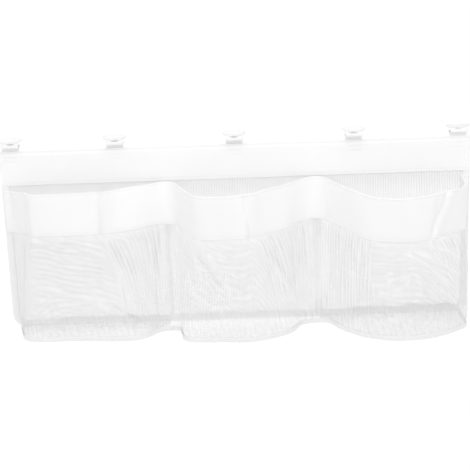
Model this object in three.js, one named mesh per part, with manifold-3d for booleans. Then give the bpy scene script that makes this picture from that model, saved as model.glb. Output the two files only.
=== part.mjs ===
// Bath toy organizer: a white cloth header with three gathered mesh pockets, hung on a tub wall by
// five clear suction cups. Each cup sits in an eyelet of a webbing loop sewn into the header's top seam.
// Millimetres, +Z up. The wall is on +Y. The origin is the centre of the header's back face.
import * as THREE from 'three';
import { mergeVertices } from 'three/addons/utils/BufferGeometryUtils.js';
import Module from 'manifold-3d';

const wasm = await Module();
wasm.setup();

// Shared values
const clearance = 0.3; // between two pieces that are sewn or seated together
const overrun = 4; // how far a cutter runs past what it cuts

// Header and back panel
const headerWidth = 711;
const headerHeight = 54;
const headerCloth = 1.2; // one layer of the header
const meshThickness = 0.8;
const panelDrop = 225; // back panel below the header
const panelCornerRadius = 20;
const bindingCloth = 0.5; // one layer of binding tape
const bindingWidth = 10; // how far the binding covers the panel

// Pockets
const dividerPlaces = [-106, 122]; // seams between the pockets, along X
const dividerTapeWidth = 9;
const dividerTapeThickness = 1;
const dividerHalfGap = 3; // from a seam's middle to each pocket's edge
const mouthGap = 1.2; // between the header and the peaks of the pocket bands
const bandHeight = 65;
const bandThickness = 1.6;
const pocketFloorRise = 3; // floor above the panel's lower edge
const floorBindingHeight = 7;
const floorBindingThickness = 2;
const foldDepth = 2.2; // how far the gathers stand in and out
const bellyDepth = 4; // how far the mesh swells at half height
const wallColumns = 40;
const wallRows = 5;
const bandRows = 2;
const floorRows = 2;
const floorEndShare = 0.035; // part of the outline that each end of a floor leaves out

// How far each pocket stands out at its floor and at its mouth, and how far its mouth sags
const leftFloorDepth = 69;
const leftMouthDepth = 48;
const leftMouthDrop = 6;
const middleFloorDepth = 92;
const middleMouthDepth = 102;
const middleMouthDrop = 3;
const rightFloorDepth = 109;
const rightMouthDepth = 118;
const rightMouthDrop = 10.5;

// Each outline runs from the left edge to the right edge as shares of width, depth and mouth drop.
const pockets = [
  {
    name: 'left',
    floorDepth: leftFloorDepth,
    mouthDepth: leftMouthDepth,
    mouthDrop: leftMouthDrop,
    gathers: 3,
    floorShares: [[0, 0, 0], [0.045, 0.4, 0], [0.085, 0.68, 0], [0.141, 0.83, 0], [0.25, 0.875, 0],
      [0.436, 0.9, 0], [0.65, 0.99, 0], [0.756, 1, 0], [0.86, 0.84, 0], [0.92, 0.56, 0],
      [0.965, 0.46, 0], [0.995, 0.35, 0], [1, 0, 0]],
    mouthShares: [[0, 0, 1], [0.07, 0.25, 0.85], [0.122, 0.48, 0.6], [0.14, 0.7, 0.45],
      [0.155, 0.93, 0.32], [0.175, 1, 0.28], [0.35, 1, 0.22], [0.56, 0.99, 0.2], [0.59, 0.96, 0.2],
      [0.625, 0.87, 0.15], [0.79, 0.49, 0], [0.92, 0.16, 0], [1, 0, 0]],
  },
  {
    name: 'middle',
    floorDepth: middleFloorDepth,
    mouthDepth: middleMouthDepth,
    mouthDrop: middleMouthDrop,
    gathers: 4,
    floorShares: [[0, 0, 0], [0.005, 0.25, 0], [0.035, 0.34, 0], [0.06, 0.5, 0], [0.078, 0.78, 0],
      [0.125, 0.9, 0], [0.2, 0.93, 0], [0.333, 0.96, 0], [0.536, 1, 0], [0.793, 0.68, 0],
      [0.9, 0.25, 0], [0.96, 0.19, 0], [0.995, 0.14, 0], [1, 0, 0]],
    mouthShares: [[0, 0, 0], [0.05, 0.1, 0.1], [0.09, 0.32, 0.3], [0.135, 0.64, 0.6],
      [0.175, 0.85, 0.8], [0.23, 0.96, 1], [0.33, 1, 1], [0.48, 0.995, 0.6], [0.514, 0.97, 0.5],
      [0.55, 0.9, 0.4], [0.757, 0.5, 0.2], [0.9, 0.14, 0.05], [1, 0, 0]],
  },
  {
    name: 'right',
    floorDepth: rightFloorDepth,
    mouthDepth: rightMouthDepth,
    mouthDrop: rightMouthDrop,
    gathers: 4,
    floorShares: [[0, 0, 0], [0.005, 0.12, 0], [0.055, 0.19, 0], [0.14, 0.5, 0], [0.29, 0.84, 0],
      [0.48, 1, 0], [0.7, 0.96, 0], [0.85, 0.8, 0], [0.94, 0.66, 0], [0.985, 0.57, 0], [1, 0.5, 0],
      [1, 0.25, 0], [1, 0, 0]],
    mouthShares: [[0, 0, 0], [0.07, 0.15, 0.2], [0.16, 0.42, 0.5], [0.25, 0.7, 0.8], [0.33, 0.88, 1],
      [0.47, 1, 1.05], [0.6, 0.97, 1], [0.75, 0.85, 0.9], [0.86, 0.7, 0.85], [0.94, 0.56, 0.9],
      [0.964, 0.49, 0.9], [0.978, 0.35, 0.85], [1, 0, 0.6]],
  },
];

// Hangers: two near the header's ends, one in the middle and two between
const endHangerInset = 18; // from the header's end to the end hanger's middle
const innerHangerShare = 8 / 15; // of the end hangers' distance from the middle
const endHangerPlace = headerWidth / 2 - endHangerInset;
const innerHangerPlace = innerHangerShare * endHangerPlace;
const hangers = [
  { name: 'far_left', place: -endHangerPlace, leanDegrees: 0 },
  { name: 'left', place: -innerHangerPlace, leanDegrees: 0 },
  { name: 'centre', place: 0, leanDegrees: 0 },
  { name: 'right', place: innerHangerPlace, leanDegrees: 0 },
  { name: 'far_right', place: endHangerPlace, leanDegrees: 13 },
];
const webbingWidth = 25.4;
const webbingThickness = 1;
const loopStemHeight = 2.6; // from the bend to the loop's underside
const loopDepth = 15;
const loopHeight = 5.5;
const loopCornerRadius = 1.8;
const eyeletBoreRadius = 3;
const eyeletBarrelRadius = 3.6;
const eyeletFlangeRadius = 5.6;
const eyeletFlange = 0.4;
const cupPlay = 0.5; // along the cup's axis, on both sides of the eyelet
const cupHeadRadius = 5;
const cupHeadHeight = 2;
const cupHeadChamfer = 0.7;
const cupNeckRadius = 2.6;
const cupBossRadius = 3.6;
const cupRimRadius = 17.5;
const cupRimHeight = 1;
const cupDishHeight = 6.2; // from the boss to the rim
const cupWall = 1.2;
const cupFaces = 20;
const cupCurveSteps = 4;

// Worked out from the sizes above
const headerTop = headerHeight / 2;
const headerBottom = -headerHeight / 2;
const backingFront = -headerCloth;
const panelBack = backingFront - clearance;
const panelFront = panelBack - meshThickness;
const bandBack = panelFront - clearance;
const bandFront = bandBack - headerCloth;
const headerMiddle = bandFront / 2;
const panelEdge = clearance + bindingCloth; // from the panel's edge to the outside of its binding
const panelHalfWidth = headerWidth / 2 - panelEdge;
const panelBottom = headerBottom - panelDrop;
const bindingFront = panelFront - panelEdge;
const bindingTop = panelBottom + bindingWidth; // of the lower binding
const tapeBack = panelFront - clearance;
const tapeFront = tapeBack - dividerTapeThickness;
const mouthTop = headerBottom - mouthGap;
const floorTop = panelBottom + pocketFloorRise;
const wallBottom = floorTop - meshThickness - clearance;
const floorBindingTop = wallBottom - clearance;
const floorBindingBottom = floorBindingTop - floorBindingHeight;
const bendHeight = headerTop + clearance + webbingThickness;

// Colours of the real materials
const whiteCloth = { color: 0xf4f4f2, roughness: 0.9, metalness: 0 };
const whiteMesh = { color: 0xe9eaea, roughness: 0.85, metalness: 0 };
const whiteTape = { color: 0xf0f0ee, roughness: 0.85, metalness: 0 };
const clearVinyl = { color: 0xdfe6e8, roughness: 0.15, metalness: 0 };
const nickel = { color: 0xc9c9c6, roughness: 0.3, metalness: 1 };

function named(name, geometry, look) {
  const mesh = new THREE.Mesh(geometry, new THREE.MeshStandardMaterial(look));
  mesh.name = name;
  return mesh;
}

// Joining and cutting
function toSolid(geometry) {
  const bare = geometry.clone();
  bare.deleteAttribute('normal');
  bare.deleteAttribute('uv');
  const merged = mergeVertices(bare);
  const vertProperties = Float32Array.from(merged.attributes.position.array);
  const triVerts = Uint32Array.from(merged.index.array);
  return new wasm.Manifold(new wasm.Mesh({ numProp: 3, vertProperties, triVerts }));
}

function toGeometry(solid) {
  const mesh = solid.getMesh();
  const geometry = new THREE.BufferGeometry();
  geometry.setAttribute('position', new THREE.BufferAttribute(mesh.vertProperties, 3));
  geometry.setIndex(new THREE.BufferAttribute(mesh.triVerts, 1));
  return geometry;
}

function block(low, high) {
  const size = high.clone().sub(low);
  const middle = high.clone().add(low).multiplyScalar(0.5);
  return new THREE.BoxGeometry(size.x, size.y, size.z).translate(middle.x, middle.y, middle.z);
}

// A flat shape drawn in X and Z, made thick from back towards the front
function slab(shape, back, thickness) {
  const geometry = new THREE.ExtrudeGeometry(shape, { depth: thickness, bevelEnabled: false, curveSegments: 6 });
  const axes = new THREE.Matrix4();
  axes.makeBasis(new THREE.Vector3(1, 0, 0), new THREE.Vector3(0, 0, 1), new THREE.Vector3(0, -1, 0));
  return geometry.applyMatrix4(axes).translate(0, back, 0);
}

// The panel's outline grown by a margin: square at the top, round at the lower corners
function panelShape(margin) {
  const half = panelHalfWidth + margin;
  const bottom = panelBottom - margin;
  const radius = panelCornerRadius + margin;
  const shape = new THREE.Shape();
  shape.moveTo(-half, headerTop);
  shape.lineTo(-half, bottom + radius);
  shape.absarc(-half + radius, bottom + radius, radius, Math.PI, 1.5 * Math.PI, false);
  shape.lineTo(half - radius, bottom);
  shape.absarc(half - radius, bottom + radius, radius, 1.5 * Math.PI, 2 * Math.PI, false);
  shape.lineTo(half, headerTop);
  shape.closePath();
  return shape;
}

function headerLayer(back) {
  const low = new THREE.Vector3(-headerWidth / 2, back - headerCloth, headerBottom);
  const high = new THREE.Vector3(headerWidth / 2, back, headerTop);
  return block(low, high);
}

// Binding tape folded over the panel's edge, cut into two sides and a lower piece
function panelBindings() {
  const outerBack = panelBack + clearance + bindingCloth;
  const outerThickness = meshThickness + 2 * panelEdge;
  const slotThickness = meshThickness + 2 * clearance;
  const outer = toSolid(slab(panelShape(panelEdge), outerBack, outerThickness));
  const slot = toSolid(slab(panelShape(clearance), panelBack + clearance, slotThickness));
  const window = toSolid(slab(panelShape(-bindingWidth), outerBack + overrun, outerThickness + 2 * overrun));
  const ring = outer.subtract(slot).subtract(window);
  const split = panelBottom + panelCornerRadius;
  const top = headerBottom - clearance;
  const side = headerWidth / 2 + overrun;
  const leftBox = block(new THREE.Vector3(-side, -side, split + clearance), new THREE.Vector3(0, side, top));
  const rightBox = block(new THREE.Vector3(0, -side, split + clearance), new THREE.Vector3(side, side, top));
  const lowBox = block(new THREE.Vector3(-side, -side, panelBottom - side), new THREE.Vector3(side, side, split));
  return [
    named('back_binding_left', toGeometry(ring.intersect(toSolid(leftBox))), whiteTape),
    named('back_binding_right', toGeometry(ring.intersect(toSolid(rightBox))), whiteTape),
    named('back_binding_bottom', toGeometry(ring.intersect(toSolid(lowBox))), whiteTape),
  ];
}

function dividerTape(name, place) {
  const half = dividerTapeWidth / 2;
  const low = new THREE.Vector3(place - half, tapeFront, bindingTop + clearance);
  const high = new THREE.Vector3(place + half, tapeBack, mouthTop);
  return named(name, block(low, high), whiteTape);
}

// A sheet between two faces: near(column, row) and far(column, row) give its points as Vector3
function sheet(columns, rows, near, far) {
  const positions = [];
  for (const side of [near, far]) {
    for (let row = 0; row <= rows; row += 1) {
      for (let column = 0; column <= columns; column += 1) {
        positions.push(...side(column, row).toArray());
      }
    }
  }
  const faceSize = (columns + 1) * (rows + 1);
  const at = (face, column, row) => face * faceSize + row * (columns + 1) + column;
  const index = [];
  const quad = (a, b, c, d) => index.push(a, b, c, a, c, d);
  for (let row = 0; row < rows; row += 1) {
    for (let column = 0; column < columns; column += 1) {
      quad(at(0, column, row), at(0, column + 1, row), at(0, column + 1, row + 1), at(0, column, row + 1));
      quad(at(1, column, row), at(1, column, row + 1), at(1, column + 1, row + 1), at(1, column + 1, row));
    }
  }
  for (let column = 0; column < columns; column += 1) {
    quad(at(0, column, 0), at(1, column, 0), at(1, column + 1, 0), at(0, column + 1, 0));
    quad(at(0, column, rows), at(0, column + 1, rows), at(1, column + 1, rows), at(1, column, rows));
  }
  for (let row = 0; row < rows; row += 1) {
    quad(at(0, 0, row), at(0, 0, row + 1), at(1, 0, row + 1), at(1, 0, row));
    quad(at(0, columns, row), at(1, columns, row), at(1, columns, row + 1), at(0, columns, row + 1));
  }
  const geometry = new THREE.BufferGeometry();
  geometry.setAttribute('position', new THREE.Float32BufferAttribute(positions, 3));
  geometry.setIndex(index);
  return geometry;
}

// Where a pocket starts and ends along X, and how far each end stands in front of the wall side
function pocketSpan(index) {
  const edge = panelHalfWidth - bindingWidth - clearance - floorBindingThickness / 2;
  const atDivider = tapeFront - clearance;
  const atPanel = bindingFront - clearance;
  const first = index === 0;
  const last = index === pockets.length - 1;
  return {
    left: first ? -edge : dividerPlaces[index - 1] + dividerHalfGap,
    right: last ? edge : dividerPlaces[index] - dividerHalfGap,
    leftY: first ? atPanel : atDivider,
    rightY: last ? atPanel : atDivider,
  };
}

// A smooth line through an outline's shares; its height is the drop below the peaks
function outline(shares, span, depth, drop) {
  const points = shares.map(([across, out, down]) => {
    const startY = THREE.MathUtils.lerp(span.leftY, span.rightY, across);
    return new THREE.Vector3(
      THREE.MathUtils.lerp(span.left, span.right, across),
      startY - depth * out,
      -drop * down,
    );
  });
  return new THREE.CatmullRomCurve3(points, false, 'centripetal');
}

// The pocket's middle surface: u runs from left to right, v from the floor to the mouth
function pocketSurface(pocket, index) {
  const span = pocketSpan(index);
  const low = outline(pocket.floorShares, span, pocket.floorDepth, 0);
  const high = outline(pocket.mouthShares, span, pocket.mouthDepth, pocket.mouthDrop);
  const lowPoints = low.getSpacedPoints(wallColumns);
  const highPoints = high.getSpacedPoints(wallColumns);
  const flat = (column, v) => {
    const point = lowPoints[column].clone().lerp(highPoints[column], v);
    point.z = THREE.MathUtils.lerp(wallBottom, mouthTop + highPoints[column].z, v);
    return point;
  };
  // The end edges lie flat towards the panel, so each end's thickness runs along X
  const normal = (column, v) => {
    if (column === 0) return new THREE.Vector3(-1, 0, 0);
    if (column === wallColumns) return new THREE.Vector3(1, 0, 0);
    const before = flat(column - 1, v);
    const after = flat(column + 1, v);
    return new THREE.Vector3(after.y - before.y, before.x - after.x, 0).normalize();
  };
  const point = (column, v, offset) => {
    const u = column / wallColumns;
    const swell = bellyDepth * Math.sin(Math.PI * v) * Math.sin(Math.PI * u);
    const gather = foldDepth * Math.sin(2 * Math.PI * pocket.gathers * u) * Math.sin(Math.PI * v);
    const out = swell + gather * Math.sin(Math.PI * u) + offset;
    return flat(column, v).addScaledVector(normal(column, v), out);
  };
  const mouthHeight = (column) => mouthTop + highPoints[column].z - wallBottom;
  return { point, mouthHeight, span };
}

// Cloth that follows the surface between two heights, each a function of the column
function wall(surface, rows, thickness, from, to) {
  const share = (column, row) => {
    const height = THREE.MathUtils.lerp(from(column), to(column), row / rows);
    return height / surface.mouthHeight(column);
  };
  const outer = (column, row) => surface.point(column, share(column, row), thickness / 2);
  const inner = (column, row) => surface.point(column, share(column, row), -thickness / 2);
  return sheet(wallColumns, rows, outer, inner);
}

function pocketFront(surface) {
  const top = (column) => surface.mouthHeight(column) - bandHeight - clearance;
  return wall(surface, wallRows, meshThickness, () => 0, top);
}

function pocketBand(surface) {
  const bottom = (column) => surface.mouthHeight(column) - bandHeight;
  return wall(surface, bandRows, bandThickness, bottom, surface.mouthHeight);
}

function floorBinding(surface) {
  const point = (column, row, offset) => {
    const place = surface.point(column, 0, offset);
    place.z = THREE.MathUtils.lerp(floorBindingBottom, floorBindingTop, row);
    return place;
  };
  const outer = (column, row) => point(column, row, floorBindingThickness / 2);
  const inner = (column, row) => point(column, row, -floorBindingThickness / 2);
  return sheet(wallColumns, 1, outer, inner);
}

// The floor spans from the panel to the inside of the pocket's front
function pocketFloor(surface) {
  const inset = meshThickness / 2 + clearance;
  const back = bindingFront - clearance;
  const ends = Math.ceil(floorEndShare * wallColumns);
  const columns = wallColumns - 2 * ends;
  const { left, right } = surface.span;
  const place = (column, row, height) => {
    const front = surface.point(column + ends, 0, -inset);
    const across = (column + ends) / wallColumns;
    const rear = new THREE.Vector3(THREE.MathUtils.lerp(left, right, across), back, 0);
    const point = rear.lerp(front, row / floorRows);
    point.z = height;
    return point;
  };
  const under = (column, row) => place(column, row, floorTop - meshThickness);
  const above = (column, row) => place(column, row, floorTop);
  return sheet(columns, floorRows, under, above);
}

function pocketPieces() {
  return pockets.flatMap((pocket, index) => {
    const surface = pocketSurface(pocket, index);
    return [
      named(`pocket_front_${pocket.name}`, pocketFront(surface), whiteMesh),
      named(`pocket_band_${pocket.name}`, pocketBand(surface), whiteCloth),
      named(`pocket_floor_${pocket.name}`, pocketFloor(surface), whiteMesh),
      named(`floor_binding_${pocket.name}`, floorBinding(surface), whiteTape),
    ];
  });
}

// A hanger is drawn about its bend: Y to the wall and Z up, both zero on the bend's axis
const loopBottom = loopStemHeight;
const loopTop = loopBottom + loopHeight;
const plateUnderside = loopTop - webbingThickness;

function roundedRectangle(path, half, low, high, radius) {
  path.moveTo(half, low + radius);
  path.lineTo(half, high - radius);
  path.absarc(half - radius, high - radius, radius, 0, 0.5 * Math.PI, false);
  path.lineTo(-half + radius, high);
  path.absarc(-half + radius, high - radius, radius, 0.5 * Math.PI, Math.PI, false);
  path.lineTo(-half, low + radius);
  path.absarc(-half + radius, low + radius, radius, Math.PI, 1.5 * Math.PI, false);
  path.lineTo(half - radius, low);
  path.absarc(half - radius, low + radius, radius, 1.5 * Math.PI, 2 * Math.PI, false);
}

// Extrudes a shape drawn in Y and Z across the webbing's width
function acrossWebbing(shape) {
  const depth = webbingWidth;
  const geometry = new THREE.ExtrudeGeometry(shape, { depth, bevelEnabled: false, curveSegments: 3 });
  const axes = new THREE.Matrix4();
  axes.makeBasis(new THREE.Vector3(0, 1, 0), new THREE.Vector3(0, 0, 1), new THREE.Vector3(1, 0, 0));
  return toSolid(geometry.applyMatrix4(axes).translate(-webbingWidth / 2, 0, 0));
}

// Webbing doubled at the seam, opened into a flat loop, with a round hole in its top
function webbingLoop() {
  const outerShape = new THREE.Shape();
  roundedRectangle(outerShape, loopDepth / 2, loopBottom, loopTop, loopCornerRadius);
  const innerRadius = loopCornerRadius - webbingThickness;
  const innerHalf = loopDepth / 2 - webbingThickness;
  const innerShape = new THREE.Shape();
  roundedRectangle(innerShape, innerHalf, loopBottom + webbingThickness, plateUnderside, innerRadius);
  const stemShape = new THREE.Shape();
  stemShape.moveTo(webbingThickness, loopBottom + webbingThickness / 2);
  stemShape.lineTo(-webbingThickness, loopBottom + webbingThickness / 2);
  stemShape.lineTo(-webbingThickness, 0);
  stemShape.absarc(0, 0, webbingThickness, Math.PI, 2 * Math.PI, false);
  const holeHeight = webbingThickness + 2 * clearance;
  const holeRadius = eyeletBarrelRadius + clearance;
  const hole = new THREE.CylinderGeometry(holeRadius, holeRadius, holeHeight, cupFaces);
  hole.rotateX(Math.PI / 2).translate(0, 0, loopTop - webbingThickness / 2);
  const ring = acrossWebbing(outerShape).add(acrossWebbing(stemShape)).subtract(acrossWebbing(innerShape));
  return toGeometry(ring.subtract(toSolid(hole)));
}

// A pressed ring with a flange on both faces of the webbing
function eyelet() {
  const low = plateUnderside;
  const high = loopTop;
  const profile = [
    [eyeletBoreRadius, low - eyeletFlange],
    [eyeletFlangeRadius, low - eyeletFlange],
    [eyeletFlangeRadius, low],
    [eyeletBarrelRadius, low],
    [eyeletBarrelRadius, high],
    [eyeletFlangeRadius, high],
    [eyeletFlangeRadius, high + eyeletFlange],
    [eyeletBoreRadius, high + eyeletFlange],
    [eyeletBoreRadius, low - eyeletFlange],
  ];
  return turned(profile);
}

// Revolves a profile of [radius, height] about Z
function turned(profile) {
  const points = profile.map(([radius, height]) => new THREE.Vector2(radius, height));
  return new THREE.LatheGeometry(points, cupFaces).rotateX(Math.PI / 2);
}

// The dish's section runs out from the boss to the rim on a quarter wave
function dishCurve(startRadius, startHeight, endRadius, endHeight) {
  const points = [];
  for (let step = 0; step <= cupCurveSteps; step += 1) {
    const share = step / cupCurveSteps;
    const height = THREE.MathUtils.lerp(startHeight, endHeight, 1 - Math.cos(share * Math.PI / 2));
    points.push([THREE.MathUtils.lerp(startRadius, endRadius, Math.sin(share * Math.PI / 2)), height]);
  }
  return points;
}

const cupHeadTop = plateUnderside - eyeletFlange - cupPlay;
const cupHeadBottom = cupHeadTop - cupHeadHeight;
const cupBossHeight = loopTop + eyeletFlange + cupPlay;
const cupRimTop = cupBossHeight + cupDishHeight;

// A mushroom head, a neck and a shallow dish with its rim up
function suctionCup() {
  const outside = dishCurve(cupBossRadius, cupBossHeight, cupRimRadius, cupRimTop - cupRimHeight);
  const inside = dishCurve(0, cupBossHeight + cupWall, cupRimRadius - cupWall, cupRimTop).reverse();
  return turned([
    [0, cupHeadBottom],
    [cupHeadRadius - cupHeadChamfer, cupHeadBottom],
    [cupHeadRadius, cupHeadBottom + cupHeadChamfer],
    [cupHeadRadius, cupHeadTop],
    [cupNeckRadius, cupHeadTop],
    [cupNeckRadius, cupBossHeight],
    ...outside,
    [cupRimRadius, cupRimTop],
    ...inside,
  ]);
}

function hangerPieces({ name, place, leanDegrees }) {
  const group = new THREE.Group();
  group.position.set(place, headerMiddle, bendHeight);
  group.rotation.x = -THREE.MathUtils.degToRad(leanDegrees);
  group.add(
    named(`webbing_loop_${name}`, webbingLoop(), whiteTape),
    named(`eyelet_${name}`, eyelet(), nickel),
    named(`suction_cup_${name}`, suctionCup(), clearVinyl),
  );
  return group;
}

const organizer = new THREE.Group();
organizer.add(
  named('header_band', headerLayer(bandBack), whiteCloth),
  named('header_backing', headerLayer(0), whiteCloth),
  named('back_panel', slab(panelShape(0), panelBack, meshThickness), whiteMesh),
  ...panelBindings(),
  dividerTape('divider_tape_left', dividerPlaces[0]),
  dividerTape('divider_tape_right', dividerPlaces[1]),
  ...pocketPieces(),
  ...hangers.map(hangerPieces),
);

export default organizer;
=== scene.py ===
"""Bath toy organizer: a white cloth header, three gathered mesh pockets and five clear suction cups.

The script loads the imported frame, makes each piece with the operators below and leaves the scene ready
to render. The wall is on +Y, up is +Z, and the origin is the centre of the header's back face.
Sizes in the functions are in millimetres, as in the part's source, and meshes are made in metres.
"""
import math

import bmesh
import bpy
from mathutils import Matrix, Vector, noise


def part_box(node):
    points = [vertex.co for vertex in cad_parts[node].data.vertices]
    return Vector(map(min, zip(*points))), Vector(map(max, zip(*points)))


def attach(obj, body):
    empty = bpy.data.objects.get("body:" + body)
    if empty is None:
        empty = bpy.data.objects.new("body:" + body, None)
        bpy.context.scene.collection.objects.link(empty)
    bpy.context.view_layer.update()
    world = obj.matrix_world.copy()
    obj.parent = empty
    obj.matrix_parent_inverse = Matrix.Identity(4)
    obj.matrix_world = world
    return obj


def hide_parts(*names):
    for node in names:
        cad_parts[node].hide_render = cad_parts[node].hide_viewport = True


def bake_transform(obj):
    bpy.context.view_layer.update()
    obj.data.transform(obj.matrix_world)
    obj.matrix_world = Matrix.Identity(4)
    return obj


bl_info = {
    "name": "Bath toy organizer",
    "version": (1, 0, 0),
    "blender": (4, 5, 0),
    "location": "3D View > Sidebar > Organizer",
    "description": "Makes a hanging mesh organizer around its packed frame",
    "category": "Object",
}

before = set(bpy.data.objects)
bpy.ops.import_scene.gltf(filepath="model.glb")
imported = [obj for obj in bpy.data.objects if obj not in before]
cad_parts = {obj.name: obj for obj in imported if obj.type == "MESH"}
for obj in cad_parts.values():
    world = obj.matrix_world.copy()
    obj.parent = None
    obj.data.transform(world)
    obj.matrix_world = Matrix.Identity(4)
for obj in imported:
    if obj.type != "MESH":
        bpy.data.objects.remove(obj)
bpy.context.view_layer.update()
MM = 0.001


def box_mm(node):
    """The lowest and highest corner of a CAD node, in millimetres."""
    low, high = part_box(node)
    return low / MM, high / MM


def linear(code):
    """Turns an sRGB hex colour into linear values."""
    parts = [int(code[i : i + 2], 16) / 255 for i in (1, 3, 5)]
    return tuple(p / 12.92 if p <= 0.04045 else ((p + 0.055) / 1.055) ** 2.4 for p in parts)


# Header, panel and tape, from the frame
HEADER_LOW, HEADER_HIGH = box_mm("header_band")
HEADER_HALF = HEADER_HIGH.x
HEADER_TOP = HEADER_HIGH.z
HEADER_BOTTOM = HEADER_LOW.z
FRONT_CLOTH_Y = (HEADER_LOW.y + HEADER_HIGH.y) / 2
BACK_CLOTH_Y = sum(corner.y for corner in box_mm("header_backing")) / 2
HEADER_CLOTH = HEADER_HIGH.y - HEADER_LOW.y
SEAM_Y = HEADER_LOW.y / 2
PANEL_LOW, PANEL_HIGH = box_mm("back_panel")
PANEL_HALF = PANEL_HIGH.x
PANEL_BOTTOM = PANEL_LOW.z
PANEL_Y = (PANEL_LOW.y + PANEL_HIGH.y) / 2
PANEL_CORNER = 20
BINDING_LOW, BINDING_HIGH = box_mm("back_binding_left")
BINDING_WIDTH = 10
BINDING_CLOTH = 0.5
TAPE_NODES = ("divider_tape_left", "divider_tape_right")
TAPE_PLACES = [sum(corner.x for corner in box_mm(node)) / 2 for node in TAPE_NODES]
TAPE_LOW, TAPE_HIGH = box_mm("divider_tape_left")
TAPE_WIDTH = TAPE_HIGH.x - TAPE_LOW.x

# Pockets, repeated from the part's source. Beside a divider the cloth ends where the two pockets meet, and
# one strip of net goes from there back to the tape.
DIVIDER_HALF_GAP = 3
CLOSED_UP, CLOSING_REACH = 2.8, 18
MOUTH_TOP = HEADER_BOTTOM - 1.2
BAND_HEIGHT = 65
BAND_CLOTH = 1.6
# Stitch rows: how far from the cloth's edge, and how deep they press the cloth in
STITCH_ROW = 3.2
GROOVE = 0.34
WALL_BOTTOM = -250.1
FLOOR_Z = -249.4
FLOOR_BINDING_LOW, FLOOR_BINDING_HIGH = box_mm("floor_binding_left")
POCKET_EDGE = 343.4
PANEL_SIDE_Y = -3.4
DIVIDER_SIDE_Y = -3.9
BELLY = 4
FOLD = 2.2
POCKETS = [
    {
        "name": "left",
        "floor_depth": 69,
        "mouth_depth": 48,
        "drop": 6,
        "gathers": 3,
        "floor": [(0, 0), (0.03, 0.4), (0.057, 0.68), (0.112, 0.84), (0.25, 0.885), (0.436, 0.9), (0.65, 0.99),
                  (0.756, 1), (0.86, 0.84), (0.92, 0.56), (0.965, 0.45), (1, 0.41)],
        "mouth": [(0, 0, 1), (0.07, 0.25, 0.85), (0.122, 0.48, 0.6), (0.14, 0.7, 0.45), (0.155, 0.93, 0.32),
                  (0.175, 1, 0.28), (0.35, 1, 0.22), (0.56, 0.99, 0.2), (0.59, 0.96, 0.2), (0.625, 0.87, 0.15),
                  (0.79, 0.49, 0), (0.9, 0.235, -0.05), (0.955, 0.155, -0.25), (1, 0.13, -0.35)],
    },
    {
        "name": "middle",
        "floor_depth": 92,
        "mouth_depth": 102,
        "drop": 3,
        "gathers": 4,
        "floor": [(0, 0.308), (0.035, 0.34), (0.06, 0.5), (0.078, 0.78), (0.125, 0.9), (0.2, 0.93),
                  (0.333, 0.96), (0.536, 1), (0.793, 0.68), (0.9, 0.25), (0.96, 0.19), (1, 0.17)],
        "mouth": [(0, 0.061, -0.7), (0.022, 0.068, -0.6), (0.05, 0.12, -0.2), (0.09, 0.32, 0.3),
                  (0.135, 0.64, 0.6), (0.175, 0.85, 0.8), (0.23, 0.96, 1), (0.33, 1, 1), (0.48, 0.995, 0.6),
                  (0.514, 0.97, 0.5), (0.55, 0.9, 0.4), (0.757, 0.5, 0.2), (0.89, 0.19, 0),
                  (0.955, 0.085, -0.5), (1, 0.061, -0.7)],
    },
    {
        "name": "right",
        "floor_depth": 109,
        "mouth_depth": 118,
        "drop": 10.5,
        "gathers": 4,
        "floor": [(0, 0.143), (0.055, 0.19), (0.14, 0.5), (0.29, 0.84), (0.48, 1), (0.7, 0.96),
                  (0.85, 0.8), (0.94, 0.66), (0.985, 0.57), (1, 0.5), (1, 0.25), (1, 0)],
        "mouth": [(0, 0.053, -0.2), (0.03, 0.07, -0.15), (0.07, 0.15, 0.1), (0.16, 0.42, 0.5),
                  (0.25, 0.7, 0.8), (0.33, 0.88, 1), (0.47, 1, 1.05), (0.6, 0.97, 1), (0.75, 0.85, 0.9),
                  (0.86, 0.7, 0.85), (0.94, 0.56, 0.9), (0.964, 0.49, 0.9), (0.978, 0.35, 0.85), (1, 0, 0.6)],
    },
]

# Hangers: each loop's webbing bends on an axis just above the header's top seam
HANGERS = ("far_left", "left", "centre", "right", "far_right")
HANGER_PLACES = [sum(corner.x for corner in box_mm(f"webbing_loop_{name}")) / 2 for name in HANGERS]
BEND_Z = HEADER_TOP + 1.3
LEAN = {"far_right": math.radians(13)}
WEBBING_WIDTH = 25.4
WEBBING = 1.0
LOOP_STEM = 2.6
LOOP_DEPTH = 15
LOOP_HEIGHT = 5.5
LOOP_TOP = LOOP_STEM + LOOP_HEIGHT


class OrganizerSizes(bpy.types.PropertyGroup):
    """Sizes that a user would change."""

    net_pitch: bpy.props.FloatProperty(
        name="Net pitch", description="From one hole of the net to the next", default=0.0025, unit="LENGTH"
    )
    net_thread: bpy.props.FloatProperty(
        name="Net thread", description="Width of the net's threads", default=0.0009, unit="LENGTH"
    )
    stitch_pitch: bpy.props.FloatProperty(
        name="Stitch pitch", description="From one stitch to the next", default=0.0036, unit="LENGTH"
    )
    wrinkle: bpy.props.FloatProperty(
        name="Wrinkles", description="Share of the nets' full wrinkles", default=1.0, min=0, max=1.5,
        subtype="FACTOR",
    )


class OrganizerColours(bpy.types.PropertyGroup):
    """Colours that a user would change."""

    cloth: bpy.props.FloatVectorProperty(
        name="Cloth", description="Header and pocket band", default=linear("#FBFBFB"), subtype="COLOR"
    )
    net: bpy.props.FloatVectorProperty(
        name="Net", description="Threads of the mesh", default=linear("#FAFAFA"), subtype="COLOR"
    )
    tape: bpy.props.FloatVectorProperty(
        name="Tape", description="Binding and seam tape", default=linear("#F6F6F6"), subtype="COLOR"
    )
    webbing: bpy.props.FloatVectorProperty(
        name="Webbing", description="Loops of the hangers", default=linear("#F8F8F8"), subtype="COLOR"
    )


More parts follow.
